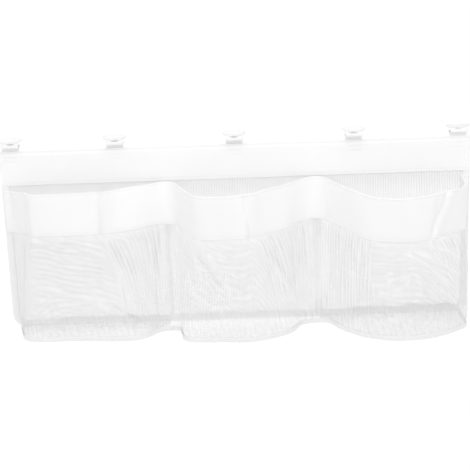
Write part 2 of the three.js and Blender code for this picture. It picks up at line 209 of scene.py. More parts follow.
# Mesh helpers
def finish_piece(mesh, name, material, smooth=True):
    """Makes an object from a mesh, with its material."""
    mesh.update()
    if smooth:
        mesh.shade_smooth()
    piece = bpy.data.objects.new(name, mesh)
    bpy.context.scene.collection.objects.link(piece)
    mesh.materials.append(material)
    return piece


def grid(name, columns, rows, point, flat, material, gather=None):
    """A sheet of quads: point(column, row) in millimetres, flat(column, row) its place in the cut cloth.

    gather(column, row) says how much the cloth is bunched there, from -1 to 1; the net's material also paints
    shade into its colour by it."""
    wide = columns + 1
    places = [(column, row) for row in range(rows + 1) for column in range(wide)]
    vertices = [point(*place) * MM for place in places]
    faces = []
    corners = []
    for row in range(rows):
        for column in range(columns):
            right = column + 1
            faces.append((
                row * wide + column, row * wide + right, (row + 1) * wide + right, (row + 1) * wide + column
            ))
            corners += [(column, row), (column + 1, row), (column + 1, row + 1), (column, row + 1)]
    mesh = bpy.data.meshes.new(name)
    mesh.from_pydata(vertices, [], faces)
    layer = mesh.uv_layers.new(name="cut_cloth")
    for loop, place in zip(layer.data, corners):
        u, v = flat(*place)
        loop.uv = (u * MM, v * MM)
    if gather:
        bunching_and_shade = mesh.attributes.new("gather", "FLOAT", "POINT")
        bunching_and_shade.data.foreach_set("value", [gather(*place) for place in places])
    return finish_piece(mesh, name, material)


def settle(piece):
    """Makes the piece's modifiers part of its mesh."""
    graph = bpy.context.evaluated_depsgraph_get()
    made = bpy.data.meshes.new_from_object(
        piece.evaluated_get(graph), preserve_all_data_layers=True, depsgraph=graph
    )
    old = piece.data
    piece.modifiers.clear()
    piece.data = made
    made.name = old.name
    bpy.data.meshes.remove(old)
    return piece


def thicken(piece, thickness, smoothing=1):
    """Gives a sheet its cloth's thickness, equal on both sides, with soft edges."""
    solid = piece.modifiers.new("cloth", "SOLIDIFY")
    solid.thickness = thickness * MM
    solid.offset = 0
    solid.use_even_offset = False
    if smoothing:
        smooth = piece.modifiers.new("soft", "SUBSURF")
        smooth.levels = smooth.render_levels = smoothing
    return settle(piece)


def turned(name, profile, segments, material, place):
    """Turns a profile of (radius, height) round an upright axis, then moves it by a matrix."""
    mesh = bpy.data.meshes.new(name)
    shape = bmesh.new()
    rings = []
    for radius, height in profile:
        if radius < 1e-6:
            rings.append([shape.verts.new((0, 0, height * MM))])
            continue
        turn = [2 * math.pi * step / segments for step in range(segments)]
        rings.append([
            shape.verts.new((radius * MM * math.cos(a), radius * MM * math.sin(a), height * MM)) for a in turn
        ])
    for low, high in zip(rings, rings[1:]):
        for step in range(segments):
            after = (step + 1) % segments
            if len(low) == 1:
                shape.faces.new((low[0], high[after], high[step]))
            elif len(high) == 1:
                shape.faces.new((low[step], low[after], high[0]))
            else:
                shape.faces.new((low[step], low[after], high[after], high[step]))
    shape.normal_update()
    bmesh.ops.recalc_face_normals(shape, faces=shape.faces)
    shape.to_mesh(mesh)
    shape.free()
    mesh.transform(place)
    return finish_piece(mesh, name, material)


def smooth_line(points, steps=40):
    """A centripetal Catmull-Rom line through points, as the part's source draws it."""
    points = [Vector(point) for point in points]
    ends = [points[0] * 2 - points[1], *points, points[-1] * 2 - points[-2]]
    line = []
    for p0, p1, p2, p3 in zip(ends, ends[1:], ends[2:], ends[3:]):
        a, b, c = ((q - p).length ** 0.5 for p, q in ((p0, p1), (p1, p2), (p2, p3)))
        start = ((p1 - p0) / a - (p2 - p0) / (a + b) + (p2 - p1) / b) * b
        end = ((p2 - p1) / b - (p3 - p1) / (b + c) + (p3 - p2) / c) * b
        for step in range(steps):
            t = step / steps
            square = p2 * 3 - p1 * 3 - start * 2 - end
            cube = p1 * 2 - p2 * 2 + start + end
            line.append(p1 + start * t + square * t * t + cube * t * t * t)
    line.append(points[-1])
    return line


class Line:
    """A line that is read by its share of length."""

    def __init__(self, points):
        self.points = points
        self.reach = [0.0]
        for before, after in zip(points, points[1:]):
            self.reach.append(self.reach[-1] + (after - before).length)
        self.length = self.reach[-1]

    def at(self, share):
        place = min(max(share, 0), 1) * self.length
        low, high = 0, len(self.reach) - 1
        while high - low > 1:
            middle = (low + high) // 2
            if self.reach[middle] <= place:
                low = middle
            else:
                high = middle
        span = self.reach[high] - self.reach[low]
        return self.points[low].lerp(self.points[high], (place - self.reach[low]) / span if span else 0)


def mix(a, b, share):
    return a + (b - a) * share


def step_up(value, low, high):
    """0 below low, 1 above high and smooth between."""
    share = min(max((value - low) / (high - low), 0), 1)
    return share * share * (3 - 2 * share)


def ripple(x, y, seed):
    """Smooth noise from -1 to 1, the same on each run."""
    return noise.noise(Vector((x, y, seed * 7.31)))


def stitches(name, rows, material, pitch, length=2.5, radius=0.34):
    """Short thread stitches along rows, each a list of (place, outward direction)."""
    vertices, faces = [], []
    for row in rows:
        line = Line([Vector(place) for place, _ in row])
        count = int(line.length / pitch)
        for index in range(count):
            share = (index + 0.5) / count
            half = length / 2 / line.length
            start, end = line.at(share - half), line.at(share + half)
            out = row[min(int(share * (len(row) - 1) + 0.5), len(row) - 1)][1]
            along = (end - start).normalized()
            side = along.cross(out).normalized()
            first = len(vertices)
            vertices.append(start - out * radius)
            for place, rise in ((mix(start, end, 0.22), 0.25), (mix(start, end, 0.78), 0.25)):
                for a, b in ((1, 0), (0, 1), (-1, 0), (0, -1)):
                    vertices.append(place + side * radius * a + out * radius * (b + rise))
            vertices.append(end - out * radius)
            for k in range(4):
                after = (k + 1) % 4
                faces.append((first, first + 1 + after, first + 1 + k))
                faces.append((first + 1 + k, first + 1 + after, first + 5 + after, first + 5 + k))
                faces.append((first + 5 + k, first + 5 + after, first + 9))
    mesh = bpy.data.meshes.new(name)
    mesh.from_pydata([vertex * MM for vertex in vertices], [], faces)
    shape = bmesh.new()
    shape.from_mesh(mesh)
    bmesh.ops.recalc_face_normals(shape, faces=shape.faces)
    shape.to_mesh(mesh)
    shape.free()
    piece = finish_piece(mesh, name, material)
    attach(piece, "bag")
    return piece


# Materials
def add_node(tree, kind, settings=None, inputs=None):
    """Adds a node with its settings, and gives its inputs their values or links."""
    made = tree.nodes.new(kind)
    for key, value in (settings or {}).items():
        setattr(made, key, value)
    for key, value in (inputs or {}).items():
        socket = made.inputs[key]
        if isinstance(value, bpy.types.NodeSocket):
            tree.links.new(value, socket)
        else:
            socket.default_value = value
    return made


def new_material(name, **values):
    """A Principled material, its sockets set by name, and its node tree."""
    material = bpy.data.materials.get(name)
    if material:
        bpy.data.materials.remove(material)
    material = bpy.data.materials.new(name)
    material.use_nodes = True
    tree = material.node_tree
    shader = tree.nodes["Principled BSDF"]
    for key, value in values.items():
        shader.inputs[key.replace("_", " ")].default_value = value
    return material, tree, shader


def cut_cloth_mm(tree):
    """The place in the cut cloth, in millimetres, as X and Y sockets."""
    place = add_node(tree, "ShaderNodeUVMap", {"uv_map": "cut_cloth"})
    scaled = add_node(
        tree, "ShaderNodeVectorMath", {"operation": "SCALE"}, {"Vector": place.outputs[0], "Scale": 1000.0}
    )
    parts = add_node(tree, "ShaderNodeSeparateXYZ", None, {"Vector": scaled.outputs[0]})
    return scaled.outputs[0], parts.outputs[0], parts.outputs[1]


def math_node(tree, operation, a, b=0.0, c=0.0):
    return add_node(tree, "ShaderNodeMath", {"operation": operation}, {0: a, 1: b, 2: c}).outputs[0]


def shade_range(tree, factor, colour, darker):
    """The colour, with the factor's low values a little darker."""
    dark = tuple(channel * darker for channel in colour)
    return add_node(
        tree,
        "ShaderNodeMix",
        {"data_type": "RGBA"},
        {"Factor": factor, "A": (*dark, 1), "B": (*colour, 1)},
    ).outputs["Result"]


def woven_cloth(name, colour, thread, rib=1.0, darker=0.965, roughness=0.86):
    """Woven polyester: matt, with a fine over-and-under grain and slightly uneven dye.

    thread is the distance between threads in millimetres, and rib how much coarser the grain is across.
    The grain shows only close up, as on the real cloth."""
    material, tree, shader = new_material(name, Roughness=roughness, Sheen_Weight=0.12, Sheen_Roughness=0.5)
    place, across, up = cut_cloth_mm(tree)
    over = math_node(tree, "SINE", math_node(tree, "MULTIPLY", across, math.pi / (thread * rib)))
    under = math_node(tree, "SINE", math_node(tree, "MULTIPLY", up, math.pi / thread))
    grain = math_node(tree, "MULTIPLY", over, under)
    uneven = add_node(
        tree, "ShaderNodeTexNoise", None, {"Vector": place, "Scale": 0.035, "Detail": 4.0, "Roughness": 0.62}
    ).outputs[0]
    shade = math_node(tree, "MULTIPLY_ADD", grain, 0.18, uneven)
    tree.links.new(shade_range(tree, shade, colour, darker), shader.inputs["Base Color"])
    height = math_node(tree, "MULTIPLY_ADD", uneven, 2.5, grain)
    bump = add_node(
        tree, "ShaderNodeBump", None, {"Height": height, "Distance": 0.08 * MM, "Strength": 0.6}
    )
    tree.links.new(bump.outputs[0], shader.inputs["Normal"])
    return material


def knitted_net(name, colour, pitch, thread):
    """Knitted polyester mesh: matt thin threads round staggered holes, so most of what is behind shows.

    Where the gather attribute is high, the threads lie closer and their colour is painted darker as shade, in
    folds' hollows, along seams and just under the header; where it is low, their colour is painted lighter.
    The real net is finer than the photograph shows, so it is drawn as coarse as its lines there."""
    material, tree, shader = new_material(name, Roughness=0.7, Sheen_Weight=0.1)
    place, across, up = cut_cloth_mm(tree)
    bunching_and_shade = add_node(tree, "ShaderNodeAttribute", {"attribute_name": "gather"}).outputs["Fac"]
    # The courses run up the cloth, so that the long threads stand upright as in the photograph
    turned_place = add_node(tree, "ShaderNodeCombineXYZ", None, {"X": up, "Y": across}).outputs[0]
    net = add_node(
        tree,
        "ShaderNodeTexBrick",
        {"offset": 0.5, "offset_frequency": 2, "squash": 1.0},
        {
            "Vector": turned_place,
            "Scale": 1.0,
            "Mortar Size": math_node(tree, "MULTIPLY_ADD", bunching_and_shade, thread * 0.22, thread / 2),
            "Mortar Smooth": 0.35,
            "Brick Width": pitch * 1.35,
            "Row Height": pitch,
        },
    )
    thread_there = net.outputs["Fac"]
    uneven = add_node(
        tree, "ShaderNodeTexNoise", None, {"Vector": place, "Scale": 0.12, "Detail": 3.0}
    ).outputs[0]
    # Painted shade: the gather attribute darkens the threads' colour, and its low values lighten it
    lit = math_node(tree, "MULTIPLY_ADD", bunching_and_shade, -0.5, math_node(tree, "MULTIPLY_ADD", uneven, 0.16, 0.47))
    tree.links.new(shade_range(tree, lit, colour, 0.72), shader.inputs["Base Color"])
    tree.links.new(thread_there, shader.inputs["Alpha"])
    bump = add_node(
        tree, "ShaderNodeBump", None, {"Height": thread_there, "Distance": 0.15 * MM, "Strength": 0.5}
    )
    tree.links.new(bump.outputs[0], shader.inputs["Normal"])
    return material


def sewing_thread():
    """Twisted polyester thread: its slight gloss along the ply is painted into the colour as lighter and darker
    bands.
    """
    material, tree, shader = new_material("polyester_sewing_thread", Roughness=0.55)
    place = add_node(tree, "ShaderNodeTexCoord").outputs["Object"]
    ply = add_node(
        tree,
        "ShaderNodeTexWave",
        {"bands_direction": "DIAGONAL"},
        {"Vector": place, "Scale": 1 / (0.6 * MM) / 20, "Distortion": 0.4},
    ).outputs["Fac"]
    # Painted sheen: the wave's lighter bands along the ply
    tree.links.new(shade_range(tree, ply, linear("#F4F4F3"), 0.9), shader.inputs["Base Color"])
    return material


def clear_vinyl():
    """Soft clear PVC, moulded: see-through where it is met straight on, and greyer along its edges, where the
    viewing angle paints in the grey that refraction gives clear plastic.
    """
    material, tree, shader = new_material("clear_pvc_moulded", Roughness=0.15, Specular_IOR_Level=0.3)
    place = add_node(tree, "ShaderNodeTexCoord").outputs["Object"]
    flow = add_node(
        tree, "ShaderNodeTexNoise", None, {"Vector": place, "Scale": 260.0, "Detail": 2.0}
    ).outputs[0]
    tree.links.new(shade_range(tree, flow, linear("#E1E2E2"), 0.94), shader.inputs["Base Color"])
    bump = add_node(
        tree, "ShaderNodeBump", None, {"Height": flow, "Distance": 0.1 * MM, "Strength": 0.25}
    )
    tree.links.new(bump.outputs[0], shader.inputs["Normal"])
    # Painted edge shade: the grey plastic turns more opaque as the surface is seen edge-on
    edge = add_node(tree, "ShaderNodeLayerWeight", None, {"Blend": 0.5}).outputs["Facing"]
    edge = math_node(tree, "POWER", edge, 3.0)
    tree.links.new(math_node(tree, "MULTIPLY_ADD", edge, 0.42, 0.16), shader.inputs["Alpha"])
    return material


def nickel_plate():
    """Nickel-plated brass, pressed: bright, with fine turning marks round the flange."""
    material, tree, shader = new_material("nickel_plated_brass", Metallic=1.0, Roughness=0.4)
    place = add_node(tree, "ShaderNodeTexCoord").outputs["Object"]
    marks = add_node(
        tree, "ShaderNodeTexNoise", None, {"Vector": place, "Scale": 900.0, "Detail": 3.0}
    ).outputs[0]
    tree.links.new(shade_range(tree, marks, linear("#E3E2DE"), 0.9), shader.inputs["Base Color"])
    rough = add_node(
        tree,
        "ShaderNodeMapRange",
        None,
        {"Value": marks, "From Min": 0.3, "From Max": 0.7, "To Min": 0.34, "To Max": 0.48},
    ).outputs[0]
    tree.links.new(rough, shader.inputs["Roughness"])
    return material


def make_materials(context):
    """Makes each finish once, from the user's colours and sizes."""
    colours, sizes = context.scene.organizer_colours, context.scene.organizer_sizes
    made = {
        # Plain-woven polyester, heat set: an even white face
        "cloth": woven_cloth("woven_polyester_cloth", tuple(colours.cloth), 0.45),
        # Grosgrain tape: ribs across its width
        "tape": woven_cloth("grosgrain_polyester_tape", tuple(colours.tape), 0.8, rib=0.5),
        # Nylon webbing: coarse ribs and a greyer, tighter face
        "webbing": woven_cloth("woven_nylon_webbing", tuple(colours.webbing), 1.5, rib=0.6, darker=0.985),
        "net": knitted_net(
            "knitted_polyester_mesh", tuple(colours.net), sizes.net_pitch / MM, sizes.net_thread / MM
        ),
        "thread": sewing_thread(),
        "vinyl": clear_vinyl(),
        "nickel": nickel_plate(),
    }
    FINISHES.update(made)


FINISHES = {}


# Forms
class PocketForm:
    """The middle surface of one pocket's front: u from left to right, v from the floor to the mouth."""

    def __init__(self, index):
        self.pocket = POCKETS[index]
        self.index = index
        first, last = index == 0, index == len(POCKETS) - 1
        self.left = -POCKET_EDGE if first else TAPE_PLACES[index - 1] + DIVIDER_HALF_GAP
        self.right = POCKET_EDGE if last else TAPE_PLACES[index] - DIVIDER_HALF_GAP
        self.left_y = PANEL_SIDE_Y if first else DIVIDER_SIDE_Y
        self.right_y = PANEL_SIDE_Y if last else DIVIDER_SIDE_Y
        floor = [(a, out, 0) for a, out in self.pocket["floor"]]
        self.floor_line = Line(smooth_line(self.outline(floor, self.pocket["floor_depth"], 0)))
        self.mouth_line = Line(
            smooth_line(self.outline(self.pocket["mouth"], self.pocket["mouth_depth"], self.pocket["drop"]))
        )
        self.length = (self.floor_line.length + self.mouth_line.length) / 2
        self.ends = {}

    def outline(self, shares, depth, drop):
        return [
            (mix(self.left, self.right, across), mix(self.left_y, self.right_y, across) - depth * out,
             -drop * down)
            for across, out, down in shares
        ]

    def flat(self, u, v):
        if u not in self.ends:
            self.ends[u] = (self.floor_line.at(u), self.mouth_line.at(u))
        low, high = self.ends[u]
        place = low.lerp(high, v)
        place.z = mix(WALL_BOTTOM, MOUTH_TOP + high.z, v)
        # Beside a divider the cloth of both pockets lies together
        for tape in TAPE_PLACES:
            away = place.x - tape
            if abs(away) < CLOSING_REACH:
                share = 1 - step_up(abs(away), DIVIDER_HALF_GAP, CLOSING_REACH)
                place.x -= math.copysign(CLOSED_UP * share, away)
        return place

    def normal(self, u, v):
        step = 1 / 64
        before, after = self.flat(max(u - step, 0), v), self.flat(min(u + step, 1), v)
        return Vector((after.y - before.y, before.x - after.x, 0)).normalized()

    def point(self, u, v, offset=0.0):
        """A point of the surface as the CAD has it, moved out by offset."""
        swell = BELLY * math.sin(math.pi * v) * math.sin(math.pi * u)
        gather = FOLD * math.sin(2 * math.pi * self.pocket["gathers"] * u) * math.sin(math.pi * v)
        out = swell + gather * math.sin(math.pi * u) + offset
        return self.flat(u, v) + self.normal(u, v) * out

    def height(self, u):
        """From the floor seam to the mouth."""
        return self.flat(u, 1).z - WALL_BOTTOM


FORMS = [PocketForm(index) for index in range(len(POCKETS))]

# Gathers that hang from the band's seam: from and to (shares of the pocket's length), how far they lean to
# the right per millimetre down at both ends, their spacing, their depth and how far down they reach
GATHERS = {
    "left": [(0.0, 0.14, 0.0, 0.05, 7.0, 0.8, 120), (0.2, 0.58, 0.0, 0.15, 6.0, 0.3, 16),
             (0.58, 1.0, 0.8, 0.06, 8.4, 1.25, 150)],
    "middle": [(0.0, 0.28, 0.16, 0.0, 8.0, 0.9, 110), (0.28, 0.53, 0.0, 0.2, 6.2, 0.35, 20),
               (0.54, 1.0, 0.78, 0.05, 8.4, 1.35, 170)],
    "right": [(0.0, 0.36, 0.0, -0.18, 7.2, 1.3, 150), (0.36, 0.6, -0.1, 0.2, 6.8, 0.4, 22),
              (0.6, 0.8, 0.66, 0.5, 7.4, 1.0, 70), (0.84, 1.0, 0.0, 0.0, 6.4, 0.7, 140)],
}
# Long soft folds: start and end as (share of length, share of height), half width in mm and depth in mm
FOLDS = {
    "left": [((0.95, 0.66), (0.93, 0.06), 4.5, -2.6), ((0.62, 0.7), (0.8, 0.12), 3.5, 2.2),
             ((0.24, 0.38), (0.44, 0.3), 3.4, 1.2), ((0.66, 0.22), (0.84, 0.05), 3, -1.6),
             ((0.55, 0.3), (0.72, 0.05), 3, 1.5)],
    "middle": [((0.04, 0.7), (0.08, 0.28), 4, 2.4), ((0.57, 0.7), (0.84, 0.14), 4, 1.5),
               ((0.62, 0.66), (0.88, 0.14), 3.4, -1.0), ((0.3, 0.62), (0.4, 0.36), 4, -1.6),
               ((0.36, 0.6), (0.46, 0.3), 3.4, 1.6), ((0.24, 0.34), (0.42, 0.12), 4, 1.6),
               ((0.7, 0.26), (0.96, 0.06), 3, 1.8)],
    "right": [((0.03, 0.7), (0.04, 0.2), 4, 2.4), ((0.47, 0.64), (0.72, 0.3), 3.2, 1.6),
              ((0.53, 0.62), (0.78, 0.36), 3.2, 1.9), ((0.58, 0.66), (0.82, 0.46), 3, 1.8),
              ((0.62, 0.34), (0.78, 0.12), 3.4, 1.4), ((0.36, 0.1), (0.6, 0.2), 3.6, 1.2)],
}
# Ring folds: centre (shares), the ring's two half lengths in mm, its rise, its half width and its depth
RINGS = {
    "left": [(0.5, 0.22, 17, 8, 0.3, 2.6, 0.7)],
    "middle": [(0.3, 0.3, 20, 9, -0.5, 2.6, 0.8)],
    "right": [(0.435, 0.37, 25, 8, 0.62, 2.4, 1.5)],
}

# Waves of slack cloth: the part of the pocket (from and to, across and up), their spacing, depth and tilt
WAVES = {
    "left": [(0.12, 0.7, 0.24, 0.76, 8.0, 0.75, 0.1), (0.14, 0.6, 0.0, 0.44, 9.0, 0.5, -0.4)],
    "middle": [(0.12, 0.62, 0.1, 0.74, 9.0, 0.55, 0.5)],
    "right": [(0.44, 0.88, 0.06, 0.76, 9.5, 0.7, 0.62), (0.26, 0.6, 0.2, 0.74, 8.5, 0.45, -0.2)],
}


def pleat(place, spacing, sharpness=0.35):
    """A pleat's section, from -1 to 1: rounder crests and narrower valleys."""
    wave = math.sin(2 * math.pi * place / spacing)
    return wave + sharpness * (abs(wave) - 0.6)


# Lines where the net is bunched (positive, its colour painted darker as shade) and thinned (negative, its colour
# painted lighter):
# start and end as (share of length, share of height), half width in mm and how much
BUNCHING_AND_SHADE_LINES = {
    "left": [((0.165, 0.69), (0.15, 0.02), 6, 0.8), ((0.02, 0.66), (0.05, 0.1), 8, -0.1),
             ((0.99, 0.66), (0.99, 0.03), 14, -0.8), ((0.9, 0.4), (0.9, 0.08), 16, -0.5),
             ((0.24, 0.66), (0.5, 0.64), 7, 0.35), ((0.06, 0.3), (0.1, 0.02), 12, 0.4)],
    "middle": [((0.01, 0.68), (0.02, 0.03), 14, -0.9), ((0.99, 0.6), (0.99, 0.25), 12, -0.6),
               ((0.9, 0.4), (0.92, 0.12), 14, -0.5), ((0.99, 0.12), (0.99, 0.02), 7, 0.4)],
    "right": [((0.01, 0.6), (0.01, 0.2), 12, -0.5), ((0.01, 0.12), (0.01, 0.02), 7, 0.4),
              ((0.88, 0.68), (0.88, 0.03), 9, 0.2)],
}

# How densely each floor and its rear seam are gathered, and from where to where along X each seam
# stands up. The seams' values also paint the net's colour: shade at the left and right pockets' rear, lighter at
# the middle's
DENSE_FLOOR = (-0.05, -0.1, 0.3)
SEAM_GATHER_AND_SHADE = (0.95, -0.9, 0.75)
SEAM_SPANS = ((-286, -150), (-70, 80), (165, 345))

# Net per length of seam, and how far each front's threads are pulled askew. In the photograph too, the
# front's net and the back's draw wavy lines where one lies behind the other.
GATHERED = 1.12
SKEW = (0.3, 0.2, 0.24)
# How far a wrinkle pulls the threads along, per millimetre that it stands out
WRINKLE_PULL = 1.2
# How far each front's net is pulled open, which also paints its colour lighter
SLACK = (0.4, 0.46, 0.32)


def near_line(form, u, v, start, end, half):
    """1 on a line across the pocket's front and 0 away from it."""
    full = form.height(u)
    dx, dy = (end[0] - start[0]) * form.length, (end[1] - start[1]) * full
    px, py = (u - start[0]) * form.length, (v - start[1]) * full
    t = min(max((px * dx + py * dy) / (dx * dx + dy * dy), 0), 1)
    return math.exp(-((math.hypot(px - t * dx, py - t * dy) / half) ** 2))


def gathered(form, along, below, seed):
    """The pleats that the band's seam holds, at a length along the seam and a distance below it."""
    total = 0
    for first, last, lean_first, lean_last, spacing, depth, reach in GATHERS[form.pocket["name"]]:
        start = along
        fallen = 62 * (1 - math.exp(-max(below, 0) / 62))
        for _ in range(3):
            share = min(max((start / form.length - first) / (last - first), 0), 1)
            start = along - fallen * mix(lean_first, lean_last, share)
        share = start / form.length
        there = step_up(share, first - 0.015, first + 0.02) * (1 - step_up(share, last - 0.02, last + 0.015))
        if there <= 0:
            continue
        uneven = ripple(start / 13, below / 70, seed) * 4.5 + ripple(start / 41, 0.5, seed + 2) * 6
        fade = math.exp(-((max(below, 0) / reach) ** 1.6))
        grow = mix(0.45, 1, step_up(below, 0, 26))
        shallow = 0.75 + 0.9 * ripple(start / 11, below / 26, seed + 4)
        total += pleat(start + uneven, spacing) * depth * there * fade * grow * shallow
    return total


def net_wrinkle(form, u, v, amount):
    """How far the net stands out of the pocket's smooth surface, and how much it is bunched there, which also sets
    painted shade in its colour.
    """
    full = form.height(u)
    along, up = u * form.length, v * full
    seam = full - BAND_HEIGHT
    seed = form.index + 1
    # Pleats that the floor seam holds
    phase = ripple(along / 30, 0.3, seed) * 9
    low_pleat = pleat(along + phase + up * 0.25, 9.5) * math.exp(-up / 20) * 1.2
    high_pleat = gathered(form, along, seam - up, seed + 13)
    long_folds = 0
    for start, end, half, depth in FOLDS[form.pocket["name"]]:
        ax, ay = start[0] * form.length, start[1] * full
        bx, by = end[0] * form.length, end[1] * full
        dx, dy = bx - ax, by - ay
        span = math.hypot(dx, dy)
        t = ((along - ax) * dx + (up - ay) * dy) / span / span
        side = ((along - ax) * dy - (up - ay) * dx) / span
        side += ripple(t * 2.3, half, seed + 6) * half * 1.4
        ends = step_up(t, -0.12, 0.14) * (1 - step_up(t, 0.86, 1.12))
        long_folds += math.exp(-((side / half) ** 2)) * depth * ends
    waves = 0
    for left, right, low, high, spacing, depth, tilt in WAVES[form.pocket["name"]]:
        there = step_up(u, left, left + 0.16) * (1 - step_up(u, right - 0.22, right))
        there *= step_up(v, low, low + 0.2) * (1 - step_up(v, high - 0.12, high))
        if there > 0:
            bend = ripple(along / 40, up / 60, seed + 17) * 10 + ripple(along / 12, up / 20, seed + 19) * 3
            patchy = max(0.6 + 1.3 * ripple(along / 15, up / 9, seed + 21), 0)
            waves += pleat(up + along * tilt + bend, spacing) * depth * there * patchy
    for across, high, wide, tall, rise, half, depth in RINGS[form.pocket["name"]]:
        dx, dy = along - across * form.length, up - high * full
        run = math.hypot(1, rise)
        dx, dy = (dx + dy * rise) / run / wide, (dy - dx * rise) / run / tall
        side = (math.hypot(dx, dy) - 1) * (tall + (wide - tall) * abs(dx) / (math.hypot(dx, dy) + 0.01))
        side += ripple(along / 9, up / 9, seed + 23) * 1.5
        waves += math.exp(-((side / half) ** 2)) * depth
    # Slack cloth: broad swells, and crumples low in the pocket
    slack = ripple(along / 60, up / 44, seed + 3) * 1.7 + ripple(along / 20, up / 12, seed + 5) * 0.4
    bent = ripple(along / 26, up / 26, seed + 7) * 9
    crumple = ripple((along + bent) / 13, (up - bent) / 6.5, seed + 9) * 0.7 * math.exp(-(((up - 50) / 60) ** 2))
    held = step_up(up, 0, 7) * (1 - step_up(up, seam - 7, seam + 1))
    ends = step_up(u, 0, 0.02) * (1 - step_up(u, 0.98, 1))
    out = (low_pleat + high_pleat + long_folds + waves + slack + crumple) * held * ends * amount
    streak = ripple(along / 2.6, up / 40, seed + 11) * 0.3
    # Painted shade: the bunching is highest in the hollows of pleats, folds, waves and crumples, so the net's
    # colour is darker there
    bunching_and_shade = streak - high_pleat * 1.05 - low_pleat * 0.4 - long_folds * 0.38 - slack * 0.03 - crumple * 0.3
    bunching_and_shade = (bunching_and_shade - waves * 0.7 - SLACK[form.index]) * amount
    # Lines of bunching: painted shade where positive, painted lighter colour where negative
    for start, end, half, more in BUNCHING_AND_SHADE_LINES[form.pocket["name"]]:
        bunching_and_shade += more * near_line(form, u, v, start, end, half)
    return out, min(max(bunching_and_shade, -1), 1)


# Sharp creases of the band: (share of length at its top, at its foot, half width in mm, depth in mm)
CREASES = {
    "left": [(0.184, 0.186, 2.4, -8), (0.607, 0.615, 3.8, -6.5), (0.655, 0.66, 8, 2.6)],
    "middle": [(0.548, 0.556, 3.8, -5.5), (0.597, 0.605, 8, 2.4)],
    "right": [(0.7, 0.6, 3.8, -4.4), (0.65, 0.61, 3.2, -2.6), (0.74, 0.64, 7, 1.4), (0.835, 0.835, 3, -4)],
}

# How far the band's top leans out of the pocket's slope, and beside a crease: (share of length, reach, lean)
LEANS = {"left": (9, 0.612, 44, 9), "middle": (2.5, 0.553, 36, 7), "right": (3.5, 0.64, 24, 3)}


def band_fold(form, u, v):
    """Soft folds of the band, stiffer than the net, and its creases."""
    along = u * form.length
    seed = form.index + 21
    ends = step_up(u, 0, 0.05) * (1 - step_up(u, 0.95, 1))
    soft = ripple(along / 70, v * 2.2, seed) * 1.4 + ripple(along / 26, v * 3.1, seed + 4) * 0.5
    tall = form.height(u)
    share = (tall - v * tall) / BAND_HEIGHT
    for top, foot, half, depth in CREASES[form.pocket["name"]]:
        away = along - mix(top, foot, share) * form.length
        soft += depth * math.exp(-((away / half) ** 2)) * (0.75 + 0.5 * ripple(share * 2.2, top * 9, seed + 6))
    upright, start, reach, lean = LEANS[form.pocket["name"]]
    away = along - start * form.length
    soft += (0.5 - share) * (upright + lean * step_up(away, -4, 5) * (1 - step_up(away, 6, reach)))
    return soft * ends


def stitch_pitch(context):
    """From one stitch to the next, in millimetres."""
    return context.scene.organizer_sizes.stitch_pitch / MM


# Operators
class ORGANIZER_OT_materials(bpy.types.Operator):
    """Makes the finishes: woven cloth, tape, webbing, knitted mesh, thread, clear PVC and nickel"""

    bl_idname = "organizer.materials"
    bl_label = "Finishes"

    def execute(self, context):
        make_materials(context)
        return {"FINISHED"}


def near_hanger(x):
    """1 where a hanger's webbing is sewn in, and 0 away from it."""
    nearest = min(abs(x - place) for place in HANGER_PLACES)
    return 1 - step_up(nearest, WEBBING_WIDTH / 2, WEBBING_WIDTH / 2 + 7)


def groove(from_edge):
    """How deep a stitch row presses the cloth in, at a distance from the cloth's edge."""
    return GROOVE * (1 - step_up(abs(from_edge - STITCH_ROW), 0.3, 1.7))


def header_layer(name, middle_y, side):
    """One layer of the header: turned hems at its edges and a groove along each stitch row."""
    half = HEADER_HALF - 0.3
    columns = 230
    edge = HEADER_CLOTH / 2
    low, high = HEADER_BOTTOM + edge * 0.6, HEADER_TOP - edge * 0.6
    hem = [0, 1.2, 2.6, STITCH_ROW, 3.8, 5.4, 8]
    heights = [low + h for h in hem] + [low + 8 + (high - low - 16) * k / 10 for k in range(1, 10)]
    heights += [high - h for h in reversed(hem)]
    rows = len(heights) - 1

    def point(column, row):
        x = mix(-half, half, column / columns)
        z = heights[row]
        from_edge = min(z - low, high - z)
        middle = math.sin(math.pi * (z - low) / (high - low))
        wave = ripple(x / 95, z / 60, side + 2) * 0.9 * middle + ripple(x / 28, z / 30, side + 5) * 0.28 * middle
        pucker = ripple(x / 7, 0, side + 8) * 0.22 * (1 - step_up(from_edge, 2, 9))
        close = step_up(z, HEADER_TOP - 9, HEADER_TOP - 1) * (1 - near_hanger(x))
        shut = (SEAM_Y + side * (edge + 0.06)) * close + middle_y * (1 - close)
        out = side * (wave + pucker - groove(from_edge))
        if side > 0:
            out = min(out, 0) if from_edge > 0 else 0
        edge_wave = ripple(x / 60, 1.7, 3) * 0.45 * (1 if z > 0 else -1) * step_up(abs(z), 5, 27)
        return Vector((x, shut + out, z + edge_wave))

    def flat(column, row):
        return mix(0, 2 * half, column / columns), heights[row] - low

    piece = grid(name, columns, rows, point, flat, FINISHES["cloth"])
    thicken(piece, HEADER_CLOTH - 0.1)
    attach(piece, "bag")
    face = side * (HEADER_CLOTH / 2 - 0.02)
    lines = []
    for row in (hem.index(STITCH_ROW), rows - hem.index(STITCH_ROW)):
        lines.append([(point(c, row) + Vector((0, face, 0)), Vector((0, side, 0))) for c in range(columns + 1)])
    return piece, lines


